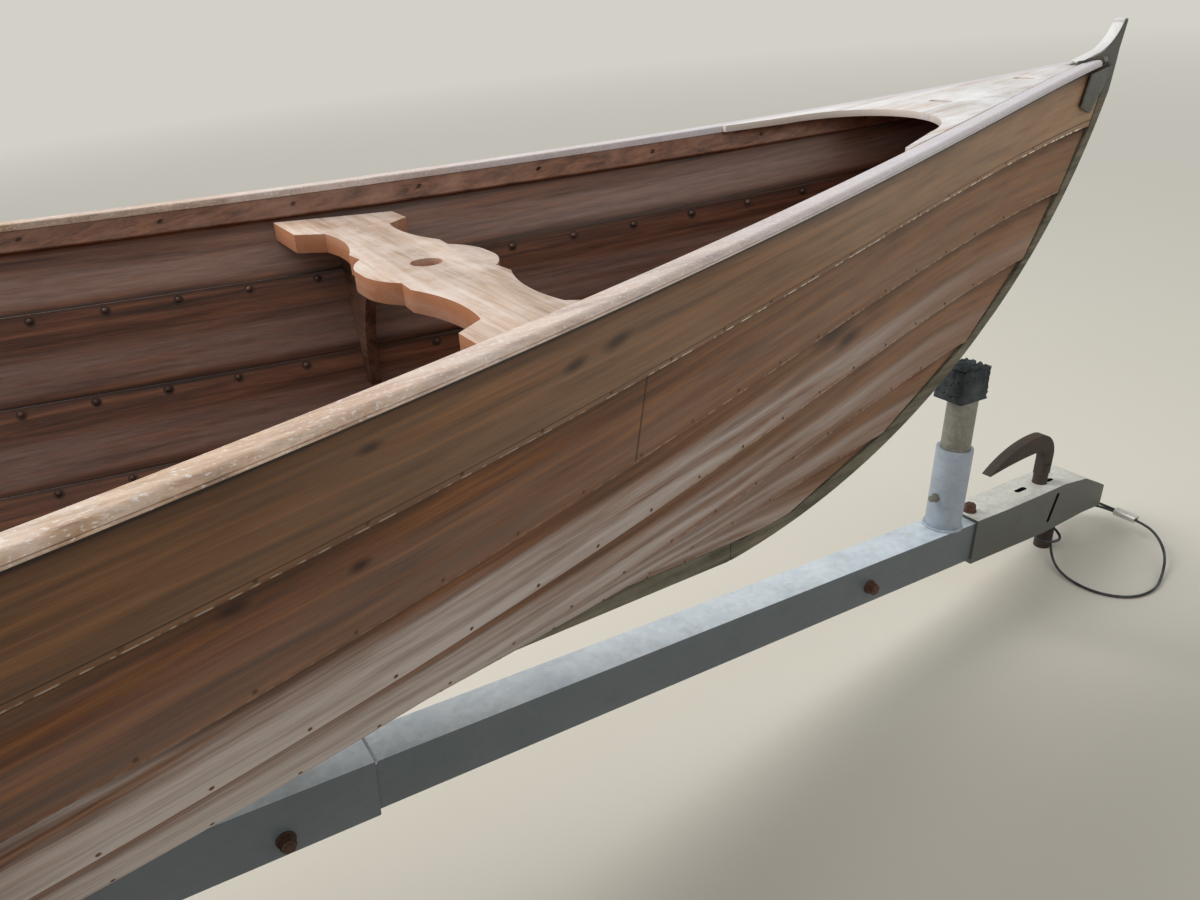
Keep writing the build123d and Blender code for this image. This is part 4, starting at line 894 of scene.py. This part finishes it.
def instanced(name, spots, material, parts, sizes, spread=0.06, body=boatBody):
    # one fastening or block set on every spot by a node tree; sizes are its named inputs, in metres
    points = meshOf(name + "_spots", [p for p, _ in spots], [])
    facing = points.attributes.new("facing", "FLOAT_VECTOR", "POINT")
    for item, (_, normal) in zip(facing.data, spots):
        item.vector = normal
    carrier = bpy.data.objects.new(name + "_spots", points)
    bpy.context.scene.collection.objects.link(carrier)
    tree = bpy.data.node_groups.new(name, "GeometryNodeTree")
    newSocket = tree.interface.new_socket
    newSocket("Geometry", in_out="INPUT", socket_type="NodeSocketGeometry")
    newSocket("Geometry", in_out="OUTPUT", socket_type="NodeSocketGeometry")
    inputs = [(newSocket(label, in_out="INPUT", socket_type="NodeSocketFloat"), value)
              for label, value in sizes.items()]
    inputs.append((newSocket("Seed", in_out="INPUT", socket_type="NodeSocketInt"), 7))
    start = add(tree, "NodeGroupInput")
    joined = add(tree, "GeometryNodeJoinGeometry")
    for part in parts(tree, start.outputs):
        tree.links.new(part, joined.inputs[0])
    named = add(tree, "GeometryNodeInputNamedAttribute", {"Name": "facing"}, data_type="FLOAT_VECTOR")
    turned = add(tree, "FunctionNodeAlignRotationToVector", {
        "Vector": next(o for o in named.outputs if o.enabled and o.name == "Attribute")}, axis="Z")
    grown = add(tree, "FunctionNodeRandomValue", {
        "Min": (1 - spread,) * 3, "Max": (1 + spread,) * 3, "Seed": start.outputs["Seed"]},
        data_type="FLOAT_VECTOR")
    placed = add(tree, "GeometryNodeInstanceOnPoints", {
        "Points": start.outputs["Geometry"], "Instance": joined, "Rotation": turned,
        "Scale": next(o for o in grown.outputs if o.enabled)})
    real = add(tree, "GeometryNodeRealizeInstances", {"Geometry": placed})
    coated = add(tree, "GeometryNodeSetMaterial", {"Geometry": real, "Material": material})
    add(tree, "NodeGroupOutput", {"Geometry": coated})
    modifier = carrier.modifiers.new("set", "NODES")
    modifier.node_group = tree
    for socket, value in inputs:
        modifier[socket.identifier] = value
    bpy.context.view_layer.update()
    mesh = bpy.data.meshes.new_from_object(carrier.evaluated_get(bpy.context.evaluated_depsgraph_get()))
    bpy.data.objects.remove(carrier)
    mesh.name = name
    # the tree leaves an empty first slot, so the one material is put back alone
    mesh.materials.clear()
    for face in mesh.polygons:
        face.material_index = 0
    smoothed(mesh, 35)
    newPiece(name, mesh, [material], body)


def domeParts(tree, sizes):
    # domed head on a round ring
    ring = add(tree, "GeometryNodeMeshCylinder", {
        "Vertices": 12, "Radius": sizes["Ring radius"], "Depth": sizes["Ring height"]})
    ball = add(tree, "GeometryNodeMeshUVSphere", {"Segments": 8, "Rings": 6, "Radius": sizes["Head radius"]})
    return ring.outputs["Mesh"], ball.outputs["Mesh"]


def hexParts(tree, sizes):
    # six-sided head on a washer
    washer = add(tree, "GeometryNodeMeshCylinder", {
        "Vertices": 16, "Radius": sizes["Washer radius"], "Depth": sizes["Washer height"]})
    head = add(tree, "GeometryNodeMeshCone", {
        "Vertices": 6, "Side Segments": 1, "Depth": sizes["Head height"],
        "Radius Top": sizes["Head top"], "Radius Bottom": sizes["Head radius"]})
    shank = add(tree, "GeometryNodeMeshCylinder", {
        "Vertices": 10, "Radius": sizes["Shank radius"], "Depth": sizes["Shank height"]})
    return washer.outputs["Mesh"], head.outputs["Mesh"], shank.outputs["Mesh"]


def treadParts(tree, sizes):
    # tread block with drawn-in flanks, shorter round the wheel than across it
    block = add(tree, "GeometryNodeMeshCone", {
        "Vertices": 4, "Side Segments": 1, "Radius Top": sizes["Top"], "Radius Bottom": sizes["Foot"],
        "Depth": sizes["Height"]})
    turned = add(tree, "GeometryNodeTransform", {
        "Geometry": block.outputs["Mesh"], "Rotation": (0, 0, math.radians(45)), "Scale": (1.0, 0.74, 1.0)})
    return (turned.outputs[0],)


# Fastenings through the laps: roves inside, heads outside, and screws along the inwale. Spacing in
# millimetres, sizes in metres.
fastening = {"pitch": 80.0, "below": 9.0, "above": 7.0, "keelPitch": 70.0, "keelAbove": 8.0,
             "screwPitch": 152.0, "screwPairs": 13, "screwDown": 11.0, "screwStart": 0.02,
             "rove": {"Ring radius": 0.0060, "Ring height": 0.0014, "Head radius": 0.0010},
             "dome": {"Ring radius": 0.0044, "Ring height": 0.0026, "Head radius": 0.0042},
             "head": {"Ring radius": 0.0022, "Ring height": 0.0004, "Head radius": 0.0010},
             "screw": {"Ring radius": 0.0042, "Ring height": 0.0010, "Head radius": 0.0015}}


def faceSpots(strake, first, second, down, pitch, inward, reach=0.95, phase=0.5):
    # points along a strake's face, a distance down from its first corner, facing out of the wood
    spots = []
    number = int(hull["lines"][strake][1] * 2 * reach / pitch)
    for i in range(number):
        u = -reach + 2 * reach * (i + phase) / number
        section = strakeSections(u)[strake]
        a, b = section[first], section[second]
        ahead = strakeSections(u + 0.002)[strake][first]
        long = math.dist(a, b)
        p = [a[k] + (b[k] - a[k]) * down / long for k in range(3)]
        for side in (1, -1):
            spot, corner, onward, foot = (onBoat(x, side * y, z) for x, y, z in (p, a, ahead, b))
            normal = (onward - corner).cross(foot - corner).normalized()
            if (normal.y * side > 0) == inward:
                normal = -normal
            spots.append((spot, normal))
    return spots


roves, heads = [], []
for strake in range(1, 6):
    roves += faceSpots(strake, -1, -2, fastening["below"], fastening["pitch"], True, phase=0.3 + 0.1 * strake)
for strake in range(5):
    heads += faceSpots(strake, 1 if strake == 0 else 2, 0 if strake == 0 else 1, fastening["above"],
                       fastening["pitch"], False, phase=0.4 + 0.1 * strake)
heads += faceSpots(5, 2, 1, fastening["keelAbove"], fastening["keelPitch"], False, 0.9)
screws = []
for i in range(-fastening["screwPairs"], fastening["screwPairs"] + 1):
    top = strakeSections(i * fastening["screwPitch"] / hull["lines"][0][1] + fastening["screwStart"])[0]
    (x, yTop, zTop), (_, yLow, zLow) = top[-1], top[-2]
    lean = fastening["screwDown"] / (zTop - zLow) * (yTop - yLow)
    y = yTop - gunwale["inwaleGap"] - gunwale["inwaleWide"] - lean
    for side in (1, -1):
        screws.append((onBoat(x, side * y, zTop - fastening["screwDown"]), Vector((0, -side, 0))))
instanced("lap_roves", roves, roveCopper, domeParts, fastening["rove"])
instanced("lap_nail_ends", roves, copper, domeParts, fastening["dome"])
instanced("lap_nail_heads", heads, nailHead, domeParts, fastening["head"])
instanced("inwale_screws", screws, copper, domeParts, fastening["screw"])
print("fastenings set")

# Trailer bolts and welds, in metres in the bar's own frame
boltSize = {"Washer radius": 0.012, "Washer height": 0.004, "Head radius": 0.0105, "Head top": 0.0095,
            "Head height": 0.014, "Shank radius": 0.005, "Shank height": 0.030}
smallBolt = {"Washer radius": 0.008, "Washer height": 0.003, "Head radius": 0.0065, "Head top": 0.0060,
             "Head height": 0.012, "Shank radius": 0.0035, "Shank height": 0.026}
fixings = {"sideBolts": ((-0.667, 0.030, -0.041), (-1.612, 0.035, -0.054)),
           "topBolt": (-0.390, 0, 0.006), "lowBolts": ((-0.390, 0, -0.080), (-0.262, 0, -0.080)),
           "postX": -0.461, "postHalf": 0.0300, "screwHeights": (0.108, 0.060),
           "postWeld": 0.0305, "postBeads": 64, "sleeveWeldX": -1.4995, "sleeveBeads": 14,
           "sleeveFrom": -0.031, "beadStep": 0.0048, "weldHeight": 0.001,
           "bead": {"Ring radius": 0.0026, "Ring height": 0.003, "Head radius": 0.0036}}


def onBar(place, normal):
    return barMatrix @ Vector(place), (barMatrix.to_3x3() @ Vector(normal)).normalized()


barBolts = [onBar((x, side * y, z), (0, side, 0)) for x, y, z in fixings["sideBolts"] for side in (1, -1)]
barBolts += [onBar(fixings["topBolt"], (0, 0, 1))]
barBolts += [onBar(place, (0, 0, -1)) for place in fixings["lowBolts"]]
postBolts = [onBar((fixings["postX"] + way * fixings["postHalf"], 0, high), (way, 0, 0))
             for way, high in zip((1, -1), fixings["screwHeights"])]
welds = []
for i in range(fixings["postBeads"]):
    a = 2 * math.pi * i / fixings["postBeads"]
    x, y = fixings["postX"] + fixings["postWeld"] * math.cos(a), fixings["postWeld"] * math.sin(a)
    welds.append(onBar((x, y, fixings["weldHeight"]), (math.cos(a), math.sin(a), 1)))
for i in range(fixings["sleeveBeads"]):
    y = fixings["sleeveFrom"] + fixings["beadStep"] * i
    welds.append(onBar((fixings["sleeveWeldX"], y, fixings["weldHeight"]), (1, 0, 1)))
instanced("bar_bolts", barBolts, boltRust, hexParts, boltSize, 0.0)
instanced("post_set_screws", postBolts, tubeSteel, hexParts, smallBolt, 0.0)
instanced("weld_beads", welds, postZinc, domeParts, fixings["bead"], 0.15)
print("bolts and welds set")

# Tyres: rounded casing turned from its section, radius and half width in millimetres, with five rows of
# tread blocks; four wheel bolts each
wheel = {"x": placing["noseX"] - 2.870, "y": 0.750, "radius": 0.281, "turns": 96, "blocks": 72,
         "section": ((165.6, 54), (171, 60.5), (186, 66), (205, 71), (222, 72.6), (226, 72.2), (228, 72.6),
                     (247, 69), (262, 62.5), (271, 54), (275, 46), (275.6, 24), (275.8, 0)),
         "rows": (-38, -19, 0, 19, 38), "tread": {"Top": 0.0112, "Foot": 0.0134, "Height": 0.0104},
         "treadFoot": 0.2702, "bolts": 4, "boltCircle": 0.050, "boltOut": 0.035,
         "bolt": dict(boltSize, **{"Shank height": 0.010})}


def tyreCasing(name, middle):
    ring = [(r / 1000, y / 1000) for r, y in wheel["section"]]
    ring += [(r, -y) for r, y in reversed(ring[:-1])]
    many, turns = len(ring), wheel["turns"]
    vertices, faces = [], []
    for i in range(turns):
        a = 2 * math.pi * i / turns
        vertices += [(wheel["x"] + r * math.sin(a), middle + y, wheel["radius"] + r * math.cos(a))
                     for r, y in ring]
        for j in range(many):
            k, n = (j + 1) % many, (i + 1) % turns
            faces.append((i * many + j, n * many + j, n * many + k, i * many + k))
    mesh = meshOf(name, vertices, faces)
    turnOutwards(mesh)
    smoothed(mesh, 40)
    return mesh


for side, turn in (("left", 1), ("right", -1)):
    body, middle = f"wheel_{side}", turn * wheel["y"]
    casing = tyreCasing(f"tyre_casing_{side}", middle)
    newPiece(f"tyre_casing_{side}", casing, [tyreRubber], body, [f"tyre_{side}"])
    blocks = []
    for row, y in enumerate(wheel["rows"]):  # every other row is set half a block on
        for i in range(wheel["blocks"]):
            a = 2 * math.pi * (i + 0.5 * (row % 2)) / wheel["blocks"]
            out = Vector((math.sin(a), 0, math.cos(a)))
            axis = Vector((wheel["x"], middle + y / 1000, wheel["radius"]))
            blocks.append((axis + out * wheel["treadFoot"], out))
    studs = []
    for i in range(wheel["bolts"]):
        a = 2 * math.pi * (i + 0.5) / wheel["bolts"]
        x, z = wheel["boltCircle"] * math.sin(a), wheel["boltCircle"] * math.cos(a)
        place = Vector((wheel["x"] + x, middle + turn * wheel["boltOut"], wheel["radius"] + z))
        studs.append((place, Vector((0, turn, 0))))
    instanced(f"tread_blocks_{side}", blocks, tyreRubber, treadParts, wheel["tread"],
              0.0, body)
    instanced(f"wheel_bolts_{side}", studs, zinc, hexParts, wheel["bolt"], 0.0, body)
print("wheels dressed")

# Floor and light: the sky, the floor in metres with its stains and grit in millimetres, and each softbox's
# place, width, watts and tint
studio = {"sky": 0.70, "skyTint": "#E6EAEE", "far": "#D3D0C8",
          "floor": "#D8D2C4", "floorStain": "#A9A192", "stainSize": 588.24, "gritSize": 4.5455,
          "floorHalf": 60.0, "fade": (3.2, 11.0),
          "softboxes": (("overhead_softbox", (-0.6, 2.2, 3.6), 3.0, 165.0, "#FFFFFF"),
                        ("front_softbox", (1.6, -3.4, 2.0), 2.5, 16.0, "#FFF6EA")), "aim": (0.9, 0.0, 0.6)}


def floorMaterial():
    # trowelled concrete: even, matt and pale, faint stains half a metre across
    material, tree, shader = startMaterial("pale_concrete_floor", roughness=0.9, specular=0.5)
    source = add(tree, "object")
    stain = add(tree, "noise", source, 1000 / studio["stainSize"], 5.0, 0.6)
    base = add(tree, "tint", add(tree, "times", stain, 0.12), studio["floor"], studio["floorStain"])
    grit = add(tree, "noise", source, 1000 / studio["gritSize"], 4.0, 0.7)
    finish(tree, shader, base, grit, 0.15)
    # far from the boat the camera sees the backdrop's own pale colour
    away = add(tree, "ShaderNodeVectorMath", {0: source}, operation="LENGTH").outputs["Value"]
    seen = add(tree, "ShaderNodeLightPath").outputs["Is Camera Ray"]
    fade = add(tree, "times", add(tree, "range", away, *studio["fade"]), seen)
    plain = add(tree, "ShaderNodeEmission", {"Color": studio["far"], "Strength": 1.0})
    blended = add(tree, "ShaderNodeMixShader", {0: fade, 1: shader, 2: plain})
    tree.links.new(blended.outputs[0], tree.nodes["Material Output"].inputs["Surface"])
    return material


size = studio["floorHalf"]
corners = [(-size, -size, 0), (size, -size, 0), (size, size, 0), (-size, size, 0)]
floorMesh = meshOf("floor", corners, [(0, 1, 2, 3)])
floorMesh.materials.append(floorMaterial())
floor = bpy.data.objects.new("floor", floorMesh)
bpy.context.scene.collection.objects.link(floor)

world = bpy.data.worlds.new("studio")
bpy.context.scene.world = world
world.use_nodes = True
tree = world.node_tree
for node in list(tree.nodes):
    tree.nodes.remove(node)
light = add(tree, "ShaderNodeBackground", {"Color": studio["skyTint"], "Strength": studio["sky"]})
seen = add(tree, "ShaderNodeBackground", {"Color": studio["far"], "Strength": 1.0})
rays = add(tree, "ShaderNodeLightPath").outputs
mirrored = add(tree, "plus", rays["Is Glossy Ray"], rays["Is Transmission Ray"])
shown = add(tree, "plus", rays["Is Camera Ray"], mirrored)
joined = add(tree, "ShaderNodeMixShader", {0: shown, 1: light, 2: seen})
add(tree, "ShaderNodeOutputWorld", {"Surface": joined})

for name, place, width, power, tint in studio["softboxes"]:
    lampData = bpy.data.lights.new(name, "AREA")
    lampData.energy = power
    lampData.size = width
    lampData.color = colour(tint)[:3]
    lamp = bpy.data.objects.new(name, lampData)
    lamp.location = place
    lamp.rotation_euler = (Vector(studio["aim"]) - Vector(place)).to_track_quat("-Z", "Y").to_euler()
    bpy.context.scene.collection.objects.link(lamp)
bpy.context.scene.view_settings.view_transform = "Standard"
print("stage lit")
